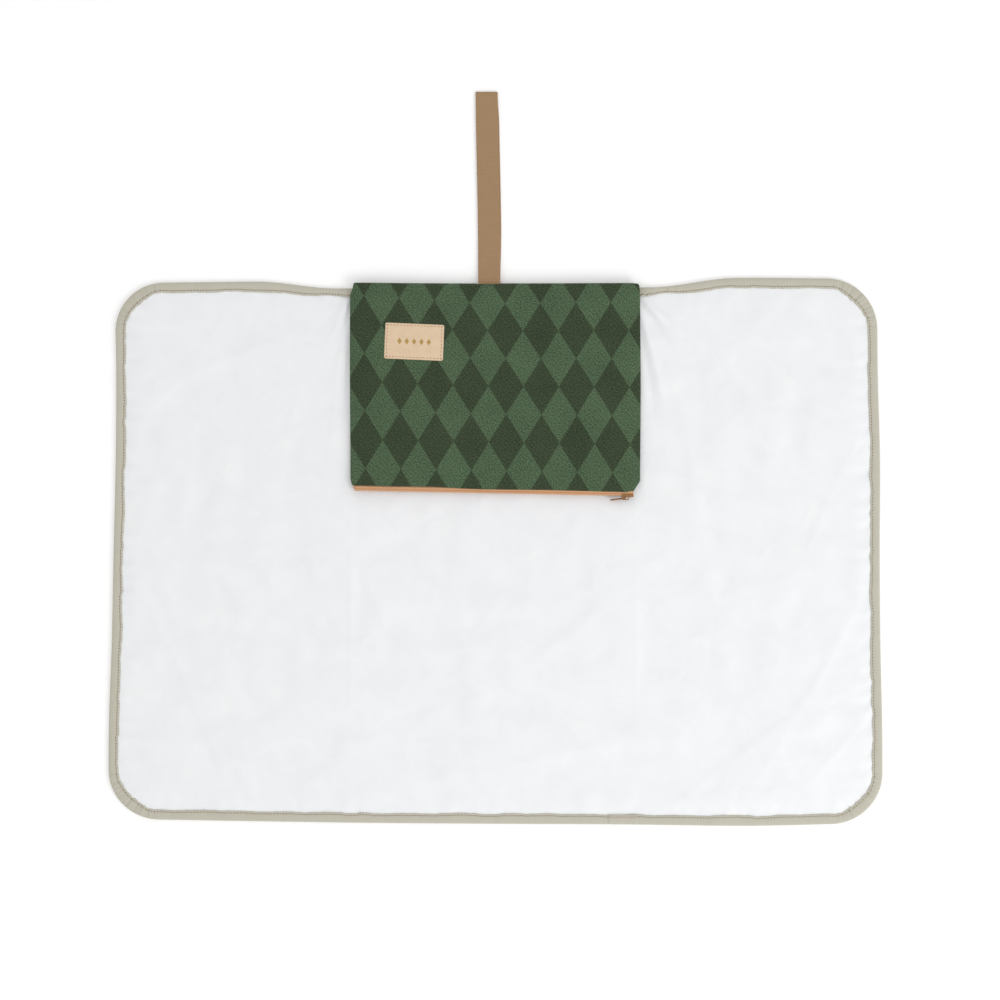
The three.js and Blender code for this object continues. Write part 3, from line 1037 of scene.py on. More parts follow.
@dataclass
class SheetDrape:
    """The cloth simulation that gives the loose top sheet its wrinkles.

    The sheet is cut a little larger than the mat and sewn down all round, so it buckles.
    """

    plan: MatPlan = field(default_factory=MatPlan)
    pitch: float = 6.0
    frames: int = 20
    slack: float = 0.010  # how much longer than the mat the sheet is
    hold: float = 0.015  # how firmly the quilted wadding holds the sheet's middle
    limit: float = 1.0

    def run(self, start: Array, x: Array, y: Array) -> Array:
        """Simulates the sheet.

        Args:
            start: the relief that it starts from.
            x, y: the grid of the straight plan.

        Returns:
            The relief that it settles to, kept within the limit.
        """
        rows, columns = x.shape
        number = np.arange(rows * columns).reshape(rows, columns)
        faces = np.stack([number[:-1, :-1], number[1:, :-1], number[1:, 1:], number[:-1, 1:]], -1)
        points = np.stack([x, y, start], -1).reshape(-1, 3) * MM
        mesh = bpy.data.meshes.new("drape")
        mesh.from_pydata(points.tolist(), [], faces.reshape(-1, 4).tolist())
        sheet = add_object("drape", mesh)
        held = sheet.vertex_groups.new(name="held")
        inside = self.plan.inside(x, y).ravel()
        under = (smooth((142 - np.abs(x)) / 16) * smooth((y - 48) / 12)).ravel()
        weights = np.maximum(np.where(inside < 9.5, 1.0, self.hold), 0.6 * under)
        for value in np.unique(np.round(weights, 2)):
            chosen = np.flatnonzero(np.round(weights, 2) == value).tolist()
            held.add(chosen, float(value), "REPLACE")
        cloth = sheet.modifiers.new("drape", "CLOTH")
        settings = cloth.settings
        settings.quality = 5
        settings.mass = 0.12
        settings.tension_stiffness = settings.compression_stiffness = 30
        settings.shear_stiffness = 12
        settings.bending_stiffness = 0.06
        settings.air_damping = 2.0
        settings.vertex_group_mass = "held"
        settings.pin_stiffness = 1.0
        settings.effector_weights.gravity = 0
        settings.shrink_min = -self.slack
        cloth.point_cache.frame_start, cloth.point_cache.frame_end = 1, self.frames
        for step in range(1, self.frames + 1):
            bpy.context.scene.frame_set(step)
        settled = sheet.evaluated_get(bpy.context.evaluated_depsgraph_get()).data
        flat = np.empty(rows * columns * 3)
        settled.vertices.foreach_get("co", flat)
        height = flat.reshape(rows, columns, 3)[..., 2] / MM
        bpy.data.objects.remove(sheet)
        bpy.data.meshes.remove(mesh)
        bpy.context.scene.frame_set(1)
        LOG.info("top sheet drape: relief %.2f to %.2f mm", height.min(), height.max())
        return self.limit * np.tanh(height / self.limit)


@dataclass
class Mat:
    """The padded mat: top sheet, wadding and back sheet, each in three columns."""

    plan: MatPlan = field(default_factory=MatPlan)
    height: float = float(corners("mat_top_centre")[1, 2])
    cloth: float = 0.6
    skin: float = 0.6 * 0.8  # how thick a sheet is drawn, so that the wadding stays clear of it
    max_relief: float = 1.3
    tuck_in: float = 5.5  # the sheets end this far inside the edge, under the binding
    pitch: float = 3.0
    fold_x: float = 128.0
    drape: SheetDrape = field(default_factory=SheetDrape)
    settled: Array | None = None
    # each crease's x, y, heading, length, width, height and bow
    creases: tuple[Crease, ...] = tuple(Crease(*row) for row in (
        (-262, -140, -66, 165, 7, 1.0, 14), (-240, -165, -60, 120, 6, 0.8, 8),
        (-304, -186, -52, 62, 4, 0.8, 6), (-205, -165, -56, 130, 9, 0.7, 10),
        (-168, -150, -40, 120, 9, 0.6, -8), (-290, -40, -74, 90, 6, 0.6, 6),
        (-288, 150, 48, 110, 7, 0.7, -8), (-225, 178, 22, 110, 8, 0.6, 6),
        (-182, 120, 76, 130, 8, 0.6, 4), (262, -150, 58, 150, 8, 0.9, -12),
        (300, -176, 48, 70, 5, 0.8, -5), (214, -178, 36, 120, 9, 0.7, 9), (292, 40, 66, 110, 7, 0.6, 8),
        (262, 168, -38, 120, 7, 0.8, 8), (205, 170, -62, 120, 8, 0.7, -6),
        (176, 60, -80, 150, 8, 0.5, 6), (20, -185, 12, 190, 11, 0.5, 10),
        (-60, -150, -24, 150, 12, 0.5, 8), (80, -60, 40, 140, 12, 0.4, -8),
    ))
    # short folds where the pouch's corners pull on the sheet
    pulls: tuple[Crease, ...] = tuple(Crease(*row) for row in (
        (138, 213, -58, 46, 9, -2.6, 3), (146, 210, -52, 48, 5, 2.0, 3), (152, 214, -48, 40, 5, -1.6, 3),
        (158, 206, -42, 60, 6, 1.3, -4), (134, 172, -80, 70, 8, -1.3, 3), (142, 168, -78, 80, 6, 1.1, 3),
        (-134, 206, 74, 60, 8, -1.7, -3), (-142, 204, 66, 60, 6, 1.4, -3),
        (-151, 209, 55, 44, 6, -1.0, -3), (-133, 150, 86, 110, 9, -1.4, 3),
        (-142, 146, 84, 110, 6, 1.0, 3),
    ))

    def settle(self) -> None:
        """Runs the drape once for the whole sheet, from the creases that it was folded to."""
        reach_x, reach_y, step = self.plan.half_x, self.plan.half_y, self.drape.pitch
        xs = np.arange(-reach_x + 4, reach_x, step)
        ys = np.arange(-reach_y, reach_y + 1, step)
        x, y = np.meshgrid(xs, ys, indexing="ij")
        start = 0.5 * self.folded(x, y) + 0.12 * drift(x, y, 34, 7)
        start = start * smooth((self.plan.inside(x, y) - 8) / 14)
        relief = self.drape.run(start, x, y)
        soft = np.pad(relief, 1, mode="edge")
        relief = (4 * relief + soft[:-2, 1:-1] + soft[2:, 1:-1] + soft[1:-1, :-2] + soft[1:-1, 2:]) / 8
        self.settled = np.stack([x, y, relief], -1)

    def draped(self, x: Array, y: Array) -> Array:
        """The settled relief, smoothed between its grid's points.

        Args:
            x, y: where to read it, on the straight plan.

        Returns:
            The relief at each point.
        """
        grid = self.settled
        step = self.drape.pitch
        px = np.clip((x - grid[0, 0, 0]) / step, 1, grid.shape[0] - 3)
        py = np.clip((y - grid[0, 0, 1]) / step, 1, grid.shape[1] - 3)
        i, j = px.astype(int), py.astype(int)
        total = 0
        for a, wa in enumerate(self.weights(px - i)):
            for b, wb in enumerate(self.weights(py - j)):
                total = total + wa * wb * grid[i + a - 1, j + b - 1, 2]
        return total

    def weights(self, t: Array) -> tuple[Array, Array, Array, Array]:
        """The cubic B-spline weights of four neighbours."""
        return ((1 - t) ** 3 / 6, (3 * t**3 - 6 * t**2 + 4) / 6,
                (-3 * t**3 + 3 * t**2 + 3 * t + 1) / 6, t**3 / 6)

    def folded(self, x: Array, y: Array) -> Array:
        """The creases left by folding and handling.

        Args:
            x, y: where to read it, on the straight plan.

        Returns:
            The relief at each point.
        """
        relief = sum(c.relief(x, y) for c in self.creases)
        for line in (-self.fold_x, self.fold_x - 4):
            fade = smooth((130 - np.abs(y + 30)) / 50)
            relief = relief + 0.5 * fade * np.exp(-(((x - line) / 2.4) ** 2))
        return relief

    def top_height(self, x: Array, y: Array) -> Array:
        """The top sheet's height.

        Args:
            x, y: where to read it, on the straight plan.

        Returns:
            The height at each point.
        """
        inside = self.plan.inside(x, y)
        swell = self.height + 0.1 - 1.4 * (1 - smooth((inside - 6) / 17))
        relief = self.folded(x, y) + 0.14 * drift(x, y, 120, 3)
        if self.settled is not None:
            relief = 0.7 * relief + 0.9 * self.draped(x, y)
        calm = smooth((inside - 8) / 14)
        pucker = 0.6 * self.plan.gather(x, y) * np.exp(-np.maximum(inside - 9, 0) / 12)
        pucker = pucker * smooth((inside - 7.9) / 3.5)
        relief = calm * relief + smooth((inside - 9) / 5) * sum(c.relief(x, y) for c in self.pulls)
        under = smooth((132 - np.abs(x)) / 6) * smooth((y - 40) / 14)
        relief = (relief + pucker) * (1 - 0.9 * under) - 0.25 * under
        return swell + self.max_relief * np.tanh(relief / self.max_relief)

    def back_height(self, x: Array, y: Array) -> Array:
        """The height of the back sheet's underside, which rests on what is below.

        Args:
            x, y: where to read it, on the straight plan.

        Returns:
            The height at each point.
        """
        inside = self.plan.inside(x, y)
        relief = 0.14 * (1 + np.tanh(drift(x, y, 60, 11))) + 0.07 * (1 + np.tanh(drift(x, y, 24, 12)))
        return 0.1 + relief * smooth((inside - 10) / 14) + 0.4 * (1 - smooth((inside - 5) / 5))

    def columns_x(self, column: Column) -> Array:
        """The stations of a column's grid along x, finer where it bends.

        Args:
            column: the column.

        Returns:
            The stations, rising.
        """
        split, reach = self.plan.split_x, self.plan.half_x - self.tuck_in
        if column is Column.CENTRE:
            return stations_between(-split, split, self.pitch)
        bend_band = np.arange(split, split + 27, 1.5)
        outer = stations_between(bend_band[-1] + 1.5, reach, self.pitch)
        stations = np.concatenate([bend_band, outer])
        return -stations[::-1] if column is Column.LEFT else stations

    def layer(
        self,
        name: str,
        column: Column,
        upper: Callable[[Array, Array], Array],
        lower: Callable[[Array, Array], Array],
        finish: Finish,
        inset: float,
        eased: bool = False,
    ) -> bpy.types.Object:
        """One layer of one column, between two height functions.

        Args:
            name: the piece's name.
            column: the column.
            upper, lower: the heights of its faces at an x and y of the straight plan.
            finish: its material.
            inset: how far inside the mat's edge it ends.
            eased: whether its pattern allows for the way round the closed fold.

        Returns:
            The linked object.
        """
        ys = stations_between(-self.plan.half_y + inset, self.plan.half_y - inset, self.pitch)
        x, y = np.meshgrid(self.columns_x(column), ys, indexing="ij")
        outside = self.plan.inside(x, y) < inset
        keep = ~(outside[:-1, :-1] & outside[1:, :-1] & outside[:-1, 1:] & outside[1:, 1:])
        x, y = self.plan.tuck(x, y, inset)
        sx, sy = self.plan.sway(x, y)
        top = np.stack([sx, sy, upper(x, y)], -1)
        bottom = np.stack([sx, sy, lower(x, y)], -1)
        along = column.round_fold(x) if eased else x
        return closed_sheet(name, top, bottom, finish, np.stack([along, y], -1), keep)

    def build(self) -> None:
        """Makes the nine layers."""
        self.settle()
        wadding_high = self.height - self.cloth - 0.3
        for column in Column:
            tag = column.value
            top = self.layer(f"top_sheet_{tag}", column, self.top_height,
                             lambda x, y: self.top_height(x, y) - self.skin, TOP_SHEET, self.tuck_in)
            hand_over(top, column.place(), [f"mat_top_{tag}"])
            back = self.layer(f"back_sheet_{tag}", column,
                              lambda x, y: self.back_height(x, y) + self.skin,
                              self.back_height, CANVAS, self.tuck_in, eased=True)
            hand_over(back, column.place(), [f"mat_back_{tag}"])
            fill = self.layer(
                f"wadding_{tag}", column,
                lambda x, y: np.minimum(self.top_height(x, y) - self.cloth - 0.1, wadding_high),
                lambda x, y: self.back_height(x, y) + self.skin + 0.15, WADDING, self.tuck_in + 1.5)
            hand_over(fill, column.place(), [f"mat_wadding_{tag}"])


@dataclass
class Binding:
    """The bias tape folded round the mat's edge, its stitching and its overlapped end."""

    plan: MatPlan = field(default_factory=MatPlan)
    width: float = 8.7
    thickness: float = 0.5
    stitch_inset: float = 7.0
    stitch_pitch: float = 2.7
    # the tape's outer face from the lower lip round the edge to the upper lip: inset and height
    face: tuple[tuple[float, float], ...] = (
        (8.6, 0.42), (8.2, 0.12), (6.5, 0.08), (4.0, 0.06), (2.2, 0.12), (1.0, 0.45), (0.25, 1.1),
        (0.0, 1.9), (0.3, 2.75), (1.1, 3.35), (2.4, 3.72), (4.2, 3.8), (5.6, 3.66), (6.4, 3.5),
        (7.0, 3.42), (7.5, 3.48), (8.2, 3.5), (8.7, 3.34), (8.85, 3.0),
    )

    def profile(self) -> Array:
        """The tape's closed section.

        Returns:
            The points of its outer face and then, backwards, of its inner face: inset and height.
        """
        face = np.array(self.face)
        along = headings(face)
        inner = face + self.thickness * np.column_stack([-along[:, 1], along[:, 0]]) * -1
        return np.concatenate([face, inner[::-1]])

    def rings(self, piece: str) -> tuple[Array, Array, Array]:
        """The tape's rings along one stretch of the edge.

        Args:
            piece: "front", "right", "rear" or "left".

        Returns:
            The rings, each ring point's place on the flat tape, and the stitch line's points.
        """
        points, inward = self.plan.edge(piece)
        step = distances(points)
        x, y = points[:, 0], points[:, 1]
        section = self.profile()
        upper = smooth((section[:, 1] - 1.8) / 1.6)
        # where the tape turns a corner, where it gathers beside the pouch, and where it is wrung there
        round_corner = smooth((np.abs(x) - 290) / 20) * smooth((np.abs(y) - 190) / 20)
        by_pouch = np.exp(-(((np.abs(x) - 150) / 13) ** 2)) * (y > 0)
        twist = np.exp(-(((np.abs(x) - 134) / 7) ** 2)) * (y > 0)
        turn = np.sin(math.pi * (np.abs(x)[:, None] + 1.5 * section[None, :, 0]) / 5.6)
        wrung = 1 - np.exp(-((turn / 0.42) ** 2))
        # the tape's inner edge wanders, the sheet swells over it in places, and the tape ripples
        sway = 0.3 * drift(step, 0 * step, 31, 21) + 0.12 * drift(step, 0 * step, 9, 22)
        bite = 0.55 * np.clip(self.plan.gather(x, y) - 0.3, 0, 1.3) * (1 - round_corner)
        crimp = (0.04 + 0.26 * round_corner + 0.22 * by_pouch) * drift(step, 0 * step, 4.6, 23)
        narrow = np.where(x > 0, 3.4, 2.2) * by_pouch
        scale = (self.width + sway + self.pleat(x, y) - bite - narrow) / self.width
        d = section[None, :, 0] * scale[:, None]
        z = section[None, :, 1] + upper[None, :] * (crimp + 0.12 * drift(step, 0 * step, 22, 24))[:, None]
        z = z + upper[None, :] * twist[:, None] * 1.1 * wrung
        px, py = x[:, None] + inward[:, :1] * d, y[:, None] + inward[:, 1:] * d
        sx, sy = self.plan.sway(px, py)
        rings = np.stack([sx, sy, np.maximum(z, 0.0)], -1)
        around = distances(section)
        cloth = np.stack(np.broadcast_arrays(step[:, None], around[None, :]), -1)
        seat = [i for i, spot in enumerate(self.face) if spot[0] == self.stitch_inset][-1]
        return rings, cloth, rings[:, seat].copy()

    def pleat(self, x: Array, y: Array) -> Array:
        """How much wider the tape lies at a corner, where its inner edge is pulled straight across.

        Args:
            x, y: points of the straight plan's edge.

        Returns:
            The added width at each.
        """
        cx, cy = self.plan.half_x - self.plan.corner, self.plan.half_y - self.plan.corner
        dx, dy = np.maximum(np.abs(x) - cx, 0), np.maximum(np.abs(y) - cy, 0)
        from_middle = np.arctan2(dy, np.maximum(dx, 1e-9)) - math.pi / 4
        reach = math.radians(31)
        chord = 1 - math.cos(reach) / np.cos(np.clip(from_middle, -reach, reach))
        return 0.42 * (self.plan.corner - self.width) * chord * ((dx > 0) & (dy > 0))

    def seam(self, seat: Array, start: float, height: float, under: float) -> list[Array]:
        """The chains that a row of stitches, or of painted needle-hole shadow, follows.

        Args:
            seat: the stitch line's points on the tape.
            start: how far along it the row starts.
            height: how high the row lies over the tape.
            under: the height of the row on the underside.

        Returns:
            The chain on the tape and the one at the underside.
        """
        step = distances(seat[:, :2])
        count = int(step[-1] / self.stitch_pitch) - 1
        at = start + np.linspace(0, (count + 0.3) * self.stitch_pitch, 2 * count + 1)
        line = np.column_stack([np.interp(at, step, seat[:, k]) for k in range(3)])
        return [line + [0, 0, height], np.column_stack([line[:, :2], np.full(len(line), under)])]

    def build(self) -> None:
        """Makes the tape's four stretches, their stitching and the overlapped end."""
        nodes = {"front": Column.CENTRE, "right": Column.RIGHT, "rear": Column.CENTRE, "left": Column.LEFT}
        for piece, column in nodes.items():
            rings, cloth, seat = self.rings(piece)
            tape = swept(f"binding_tape_{piece}", rings[:, ::-1], BINDING, cloth[:, ::-1])
            hand_over(tape, column.place(), [f"binding_{piece}"])
            rows = (
                ("binding_stitches", self.seam(seat, 0, 0.08, 0.30), 1.8, 0.5, SEWING_THREAD),
                # painted shadow: dark blobs half sunk into the tape, between the stitches, stand for the
                # shade inside the needle holes
                ("binding_needle_hole_shade", self.seam(seat, self.stitch_pitch / 2, -0.2, 0.58), 1.15, 1.1,
                 NEEDLE_HOLE_SHADE),
            )
            for name, paths, length, thick, finish in rows:
                row = STITCHES.along(f"{name}_{piece}", paths, self.stitch_pitch, length, thick, finish)
                hand_over(row, column.place())
        self.build_overlap()

    def build_overlap(self) -> None:
        """The tape's folded-under end, lapped over its start and sewn down in close rows."""
        low, high = corners("binding_overlap")
        xs = stations_between(low[0] + 1, high[0] - 1, 1.5, (0.3, 0.8))
        ds = np.array([0.6, 1.2, 2.4, 4.2, 5.8, 6.4, 7.0, 7.6, 8.2, 8.6])
        x, d = np.meshgrid(xs, ds, indexing="ij")
        under = np.interp(d, [spot[0] for spot in self.face[7:]], [spot[1] for spot in self.face[7:]])
        end = np.minimum(x - xs[0], xs[-1] - x)
        y = -self.plan.half_y + d
        sx, sy = self.plan.sway(x, y)
        lift = 0.7 * smooth(end / 0.8) + 0.14 * drift(x, y, 9, 31)
        top = np.stack([sx, sy, under + 0.1 + lift], -1)
        bottom = np.stack([sx, sy, under - 0.1], -1)
        lap = closed_sheet("binding_lap", top, bottom, BINDING, np.stack([x, d], -1))
        hand_over(lap, Body.CENTRE, ["binding_overlap"])
        rows = []
        for inset in (6.4, 7.6):
            i = int(np.argmin(np.abs(ds - inset)))
            rows.append(top[2:-2, i] + [0, 0, 0.05])
        tack = STITCHES.along("binding_lap_stitches", rows, 1.6, 1.2, 0.4, LABEL_THREAD)
        hand_over(tack, Body.CENTRE)


# ---- Pouch ------------------------------------------------------------------------------------


@dataclass
class Mouth:
    """The zip's own axes: x along the chain, y towards the pouch, z up, from the chain's middle."""

    middle: Array = field(default_factory=lambda: corners("zip_coil_front").mean(axis=0))
    along: Array = field(default_factory=lambda: -np.array(
        next(j for j in frame["joints"] if j["name"] == "zip_slide")["axis"]))
    level: float = float(corners("zip_coil_front")[0, 2] + corners("zip_coil_back")[1, 2]) / 2
    # from the chain's middle to the panels' edge, at even stations from the left end
    edge: tuple[float, ...] = (3.7, 3.7, 3.9, 2.7, 2.8, 3.1, 2.9, 2.6)
    half_length: float = 122.0

    def place(self, points: Array) -> Array:
        """Moves points from the zip's axes to the row frame.

        Args:
            points: x, y and z in the zip's axes.

        Returns:
            The moved points.
        """
        across = np.array([-self.along[1], self.along[0], 0])
        start = np.array([self.middle[0], self.middle[1], self.level])
        return start + points[..., :1] * self.along + points[..., 1:2] * across + points[..., 2:] * [0, 0, 1]

    def line(self, x: Array) -> Array:
        """The panels' edge beside the zip.

        Args:
            x: places along it, in the row frame.

        Returns:
            The edge's y at each.
        """
        slope = self.along[1] / self.along[0]
        share = (x - self.middle[0]) / (2 * self.half_length) + 0.5
        return self.middle[1] + through(self.edge, share) + (x - self.middle[0]) * slope


@dataclass
class Pouch:
    """The flat pouch: two canvas panels with their linings, the seam strip and the label."""

    mouth: Mouth = field(default_factory=Mouth)
    left: float = float(corners("pouch_front")[0, 0]) - 0.9
    right: float = float(corners("pouch_front")[1, 0]) + 0.4
    rear: float = float(corners("pouch_front")[1, 1])
    front_height: float = 2.95
    back_height: float = 3.05
    roll: float = 13.0  # how far in from a sewn edge the panel reaches its full height
    tuck: tuple[float, float] = (6.4, 9.8)  # the right corner at the mouth, tucked in
    seam_drop: float = 1.7  # how far the sewn edges hang below the zip's level
    # how far the rear seam sags, and how far the cloth rolls over it, at even stations
    sag: tuple[float, ...] = (0.0, 0.5, 1.6, 2.3, 2.0, 1.4, 0.7, 0.6)
    roll_over: tuple[float, ...] = (0.6, 1.8, 4.4, 6.4, 6.2, 4.8, 3.2, 2.8)
    askew: tuple[float, float] = (0.010, 0.018)  # the cloth was cut slightly off its weave

    def outline(self, u: Array, v: Array, inset: float) -> tuple[Array, Array]:
        """Places a panel's grid.

        Args:
            u: shares of the way across, from left to right.
            v: shares of the way from the mouth to the rear edge.
            inset: how far inside the outer panel's edge the grid ends.

        Returns:
            The x and y of each, in the row frame.
        """
        y_rear = self.rear - inset - through(self.sag, u)
        guess = self.left + (self.right - self.left) * u
        y_mouth = self.mouth.line(guess)
        y = y_mouth + (y_rear - y_mouth) * v
        # both corners at the mouth are tucked in, and both at the rear are pulled in and rounded
        over = np.clip(1 - (y - y_mouth) / self.tuck[1], 0, 1)
        right = self.right - inset - self.tuck[0] * over - 0.3 * np.sin(y / 31)
        left = self.left + inset + 2.0 * over**3 + 0.3 * np.sin(y / 37)
        below = y_rear - y
        left = left + 2.8 * smooth((14 - below) / 14) + 0.9 * np.clip(1 - below / 1.5, 0, 1) ** 2
        corner = 0.6 * smooth((12 - below) / 12) + 1.8 * np.clip(1 - below / 2.4, 0, 1) ** 2
        return left + (right - corner - left) * u, y

    def panel(
        self, name: str, side: int, height: float, inset: float, thickness: float, finish: Finish, seed: int
    ) -> bpy.types.Object:
        """One panel: rolled to the seam on three sides, held up by the zip at the mouth.

        Args:
            name: the piece's name.
            side: 1 for the front, -1 for the back.
            height: how far it stands from the pouch's middle height.
            inset: how far inside the outer panel it lies.
            thickness: the cloth's thickness.
            finish: its material.
            seed: the seed of its relief.

        Returns:
            The linked object.
        """
        width, depth = self.right - self.left, self.rear - float(self.mouth.line(np.array(0.0)))
        fine = (0.25, 0.7, 1.5, 2.8, 4.6, 7.0)
        u = stations_between(0, width, 3.0, fine) / width
        v = stations_between(0, depth, 3.0, fine) / depth
        u, v = np.meshgrid(u, v, indexing="ij")
        x, y = self.outline(u, v, inset)
        from_side = np.minimum(u, 1 - u) * width
        from_rear, from_mouth = (1 - v) * depth, v * depth
        sewn = np.minimum(from_side, from_rear)
        rise = np.sqrt(1 - (1 - np.clip(sewn / self.roll, 0, 1)) ** 2.6)
        calm = smooth(sewn / 18) * smooth((from_mouth - 3) / 18)
        relief = 0.24 * drift(x, y, 62, seed) + 0.09 * drift(x, y, 20, seed + 1)
        ridge = 0.3 * np.exp(-(((from_rear - 3.1) / 0.6) ** 2)) * (1 if side > 0 else 0)
        z = height * rise + calm * relief + ridge
        seam = self.seam_drop * (1 - smooth(sewn / self.roll)) * smooth((from_mouth - 2) / 20)
        seam = seam * (1 - smooth((8 - from_rear) / 8))
        floor_z = corners("pouch_back")[0, 2]
        outer_z = np.maximum(self.mouth.level + side * (z + 0.12) - seam, floor_z)
        gap = np.clip(z - thickness, 0, None)
        inner_z = np.maximum(self.mouth.level + side * (gap + 0.06) - seam, floor_z + 0.3)
        outer = np.stack([x, y, outer_z], -1)
        ix, iy = x + np.sign(0.5 - u) * thickness * (from_side < 0.5), y - thickness * (from_rear < 0.5)
        inner = np.stack([ix, iy, inner_z], -1)
        cut_x = x + self.askew[0] * (y - 73)
        cut_y = y + self.askew[1] * (x + 97.5) + through(self.roll_over, u) * v**1.8
        cloth = np.stack([cut_x, cut_y], -1)
        upper, lower = (outer, inner) if side > 0 else (inner, outer)
        return closed_sheet(name, upper, lower, finish, cloth)

    def build(self) -> None:
        """Makes the panels, linings and seam strip."""
        depth = (self.rear - float(self.mouth.line(np.array(0.0)))) * MM
        sides = ((1, "front", self.front_height, 41), (-1, "back", self.back_height, 45))
        # each layer's name, depth under the panel, inset, thickness, finish, slot and node
        layers = (
            ("panel", 0.0, 0.0, 0.8, CANVAS, "canvas", ""),
            ("lining_cloth", 1.35, 1.8, 0.4, LINING, "lining", "_lining"),
        )
        for layer, under, inset, thickness, finish, slot, node in layers:
            for side, tag, height, seed in sides:
                made = self.panel(
                    f"pouch_{tag}_{layer}", side, height - under, inset, thickness, finish, seed)
                hand_over(made, Body.POUCH, [f"pouch_{tag}{node}"])
        self.build_seam_strip()

    def build_seam_strip(self) -> None:
        """The strip that is sewn to the mat's rear edge and stands up behind it to the pouch's seam."""
        low, high = corners("pouch_seam_strip")
        anchor_low, anchor_high = corners("strap_anchor")
        path = np.array([
            (low[1], low[2] + 0.1), (low[1] + 5, low[2] + 0.1), (high[1] - 3.5, low[2] + 0.15),
            (high[1] - 1.2, low[2] + 0.3), (high[1] - 0.1, low[2] + 1.1), (high[1] + 0.3, low[2] + 2.4),
            (high[1] + 0.3, self.mouth.level - 0.3),
        ])
        xs = np.unique(np.concatenate([
            stations_between(low[0], high[0], 4.0), [anchor_low[0] - 0.4, anchor_high[0] + 0.4]]))
        count = 5
        rows = np.concatenate([np.linspace(a, b, count, endpoint=False) for a, b in zip(path[:-1], path[1:])]
                              + [path[-1:]])
        x, i = np.meshgrid(xs, np.arange(len(rows)), indexing="ij")
        y, z = rows[i, 0], rows[i, 1]
        u = (x - self.left) / (self.right - self.left)
        y = y - (through(self.sag, u) + 0.5) * smooth((z - low[2]) / (self.mouth.level - low[2]))
        along = headings(rows)
        out = np.stack([0 * x, -along[i, 1], along[i, 0]], -1)
        upper = np.stack([x, y, z], -1) + 0.25 * out
        lower = np.stack([x, y, z], -1) - 0.25 * out
        middle_x = (xs[:-1] + xs[1:]) / 2
        notch = (middle_x > anchor_low[0] - 0.4) & (middle_x < anchor_high[0] + 0.4)
        sewn = rows[:-1, 0] > anchor_low[1] - 0.4
        flat_part = rows[:-1, 1] < self.mouth.level - 2.2
        keep = ~(notch[:, None] & (sewn & flat_part)[None, :])
        strip = closed_sheet("pouch_seam_cloth", upper, lower, CANVAS, np.stack([x, y + z], -1), keep)
        start = (0.0, high[1] * MM, (low[2] + 0.5) * MM)
        end = (0.0, high[1] * MM, (self.mouth.level - 0.9) * MM)
        hand_over(strip, Fold(Body.CENTRE, Body.POUCH, start, end), ["pouch_seam_strip"])


@dataclass
class Label:
    """The leather patch with its stitching and a plain row of foil diamonds."""

    width: float = 51.6
    depth: float = 31.5
    thickness: float = 1.0
    turn: float = -2.4  # degrees
    forward: float = 0.9  # how far it lies forward of its node
    corner: float = 0.8
    seam: float = 1.9
    pitch: float = 2.9
    motif_count: int = 5
    motif_pitch: float = 6.4
    motif_size: tuple[float, float] = (1.9, 2.9)

    def place(self, points: Array) -> Array:
        """Moves points from the patch's own axes to the row frame.

        Args:
            points: x, y and z from the patch's middle and underside.

        Returns:
            The moved points.
        """
        low, high = corners("label_patch")
        middle = (low + high) / 2 - [0, self.forward, 0]
        angle = math.radians(self.turn)
        c, s = math.cos(angle), math.sin(angle)
        x, y, z = points[..., 0], points[..., 1], points[..., 2]
        sag = -0.55 - 0.0006 * x**2
        return np.stack([middle[0] + c * x - s * y, middle[1] + s * x + c * y, low[2] + z + sag], -1)

    def build(self) -> None:
        """Makes the patch, the stitch row and the motif."""
        hx, hy = self.width / 2, self.depth / 2
        fine = (0.15, 0.45, 1.0, 1.6)
        x, y = np.meshgrid(stations_between(-hx, hx, 2.0, fine), stations_between(-hy, hy, 2.0, fine),
                           indexing="ij")
        edge = np.minimum(hx - np.abs(x), hy - np.abs(y))
        groove = np.exp(-(((edge - self.seam) / 0.55) ** 2))
        top = self.thickness - 0.5 * (1 - np.sqrt(1 - (1 - np.clip(edge / 0.7, 0, 1)) ** 2)) - 0.16 * groove
        pull = np.clip(1 - np.hypot(hx - np.abs(x), hy - np.abs(y)) / self.corner, 0, 1) * 0.6
        px, py = x - np.sign(x) * pull, y - np.sign(y) * pull
        upper = self.place(np.stack([px, py, top], -1))
        lower = self.place(np.stack([px, py, 0 * x], -1))
        patch = closed_sheet("leather_label", upper, lower, LEATHER, np.stack([x, y], -1))
        hand_over(patch, Body.POUCH, ["label_patch"])
        sx, sy, top_z = hx - self.seam, hy - self.seam, self.thickness - 0.05
        ring = np.array([(-sx, -sy, top_z), (sx, -sy, top_z), (sx, sy, top_z), (-sx, sy, top_z),
                         (-sx, -sy, top_z)])
        legs = [self.place(np.linspace(a, b, 12)) for a, b in zip(ring[:-1], ring[1:])]
        row = STITCHES.along("label_stitches", legs, self.pitch, 2.1, 0.45, LABEL_THREAD)
        hand_over(row, Body.POUCH)
        self.build_motif()

    def build_motif(self) -> None:
        """A row of small foil diamonds, domed so slightly that they read as print."""
        a, b = self.motif_size
        points, faces = [], []
        for i in range(self.motif_count):
            x0 = (i - (self.motif_count - 1) / 2) * self.motif_pitch
            start = len(points)
            for z in (self.thickness - 0.06, self.thickness + 0.05):
                points += [(x0 - a, 0, z), (x0, -b, z), (x0 + a, 0, z), (x0, b, z)]
            faces.append([start + k for k in (4, 5, 6, 7)])
            faces.append([start + k for k in (3, 2, 1, 0)])
            sides = [(start + k, start + (k + 1) % 4) for k in range(4)]
            faces += [[near, far, 4 + far, 4 + near] for near, far in sides]
        motif = make_mesh("label_motif", self.place(np.array(points, float)), faces, GOLD)
        motif.data.polygons.foreach_set("use_smooth", [False] * len(motif.data.polygons))
        hand_over(motif, Body.POUCH)


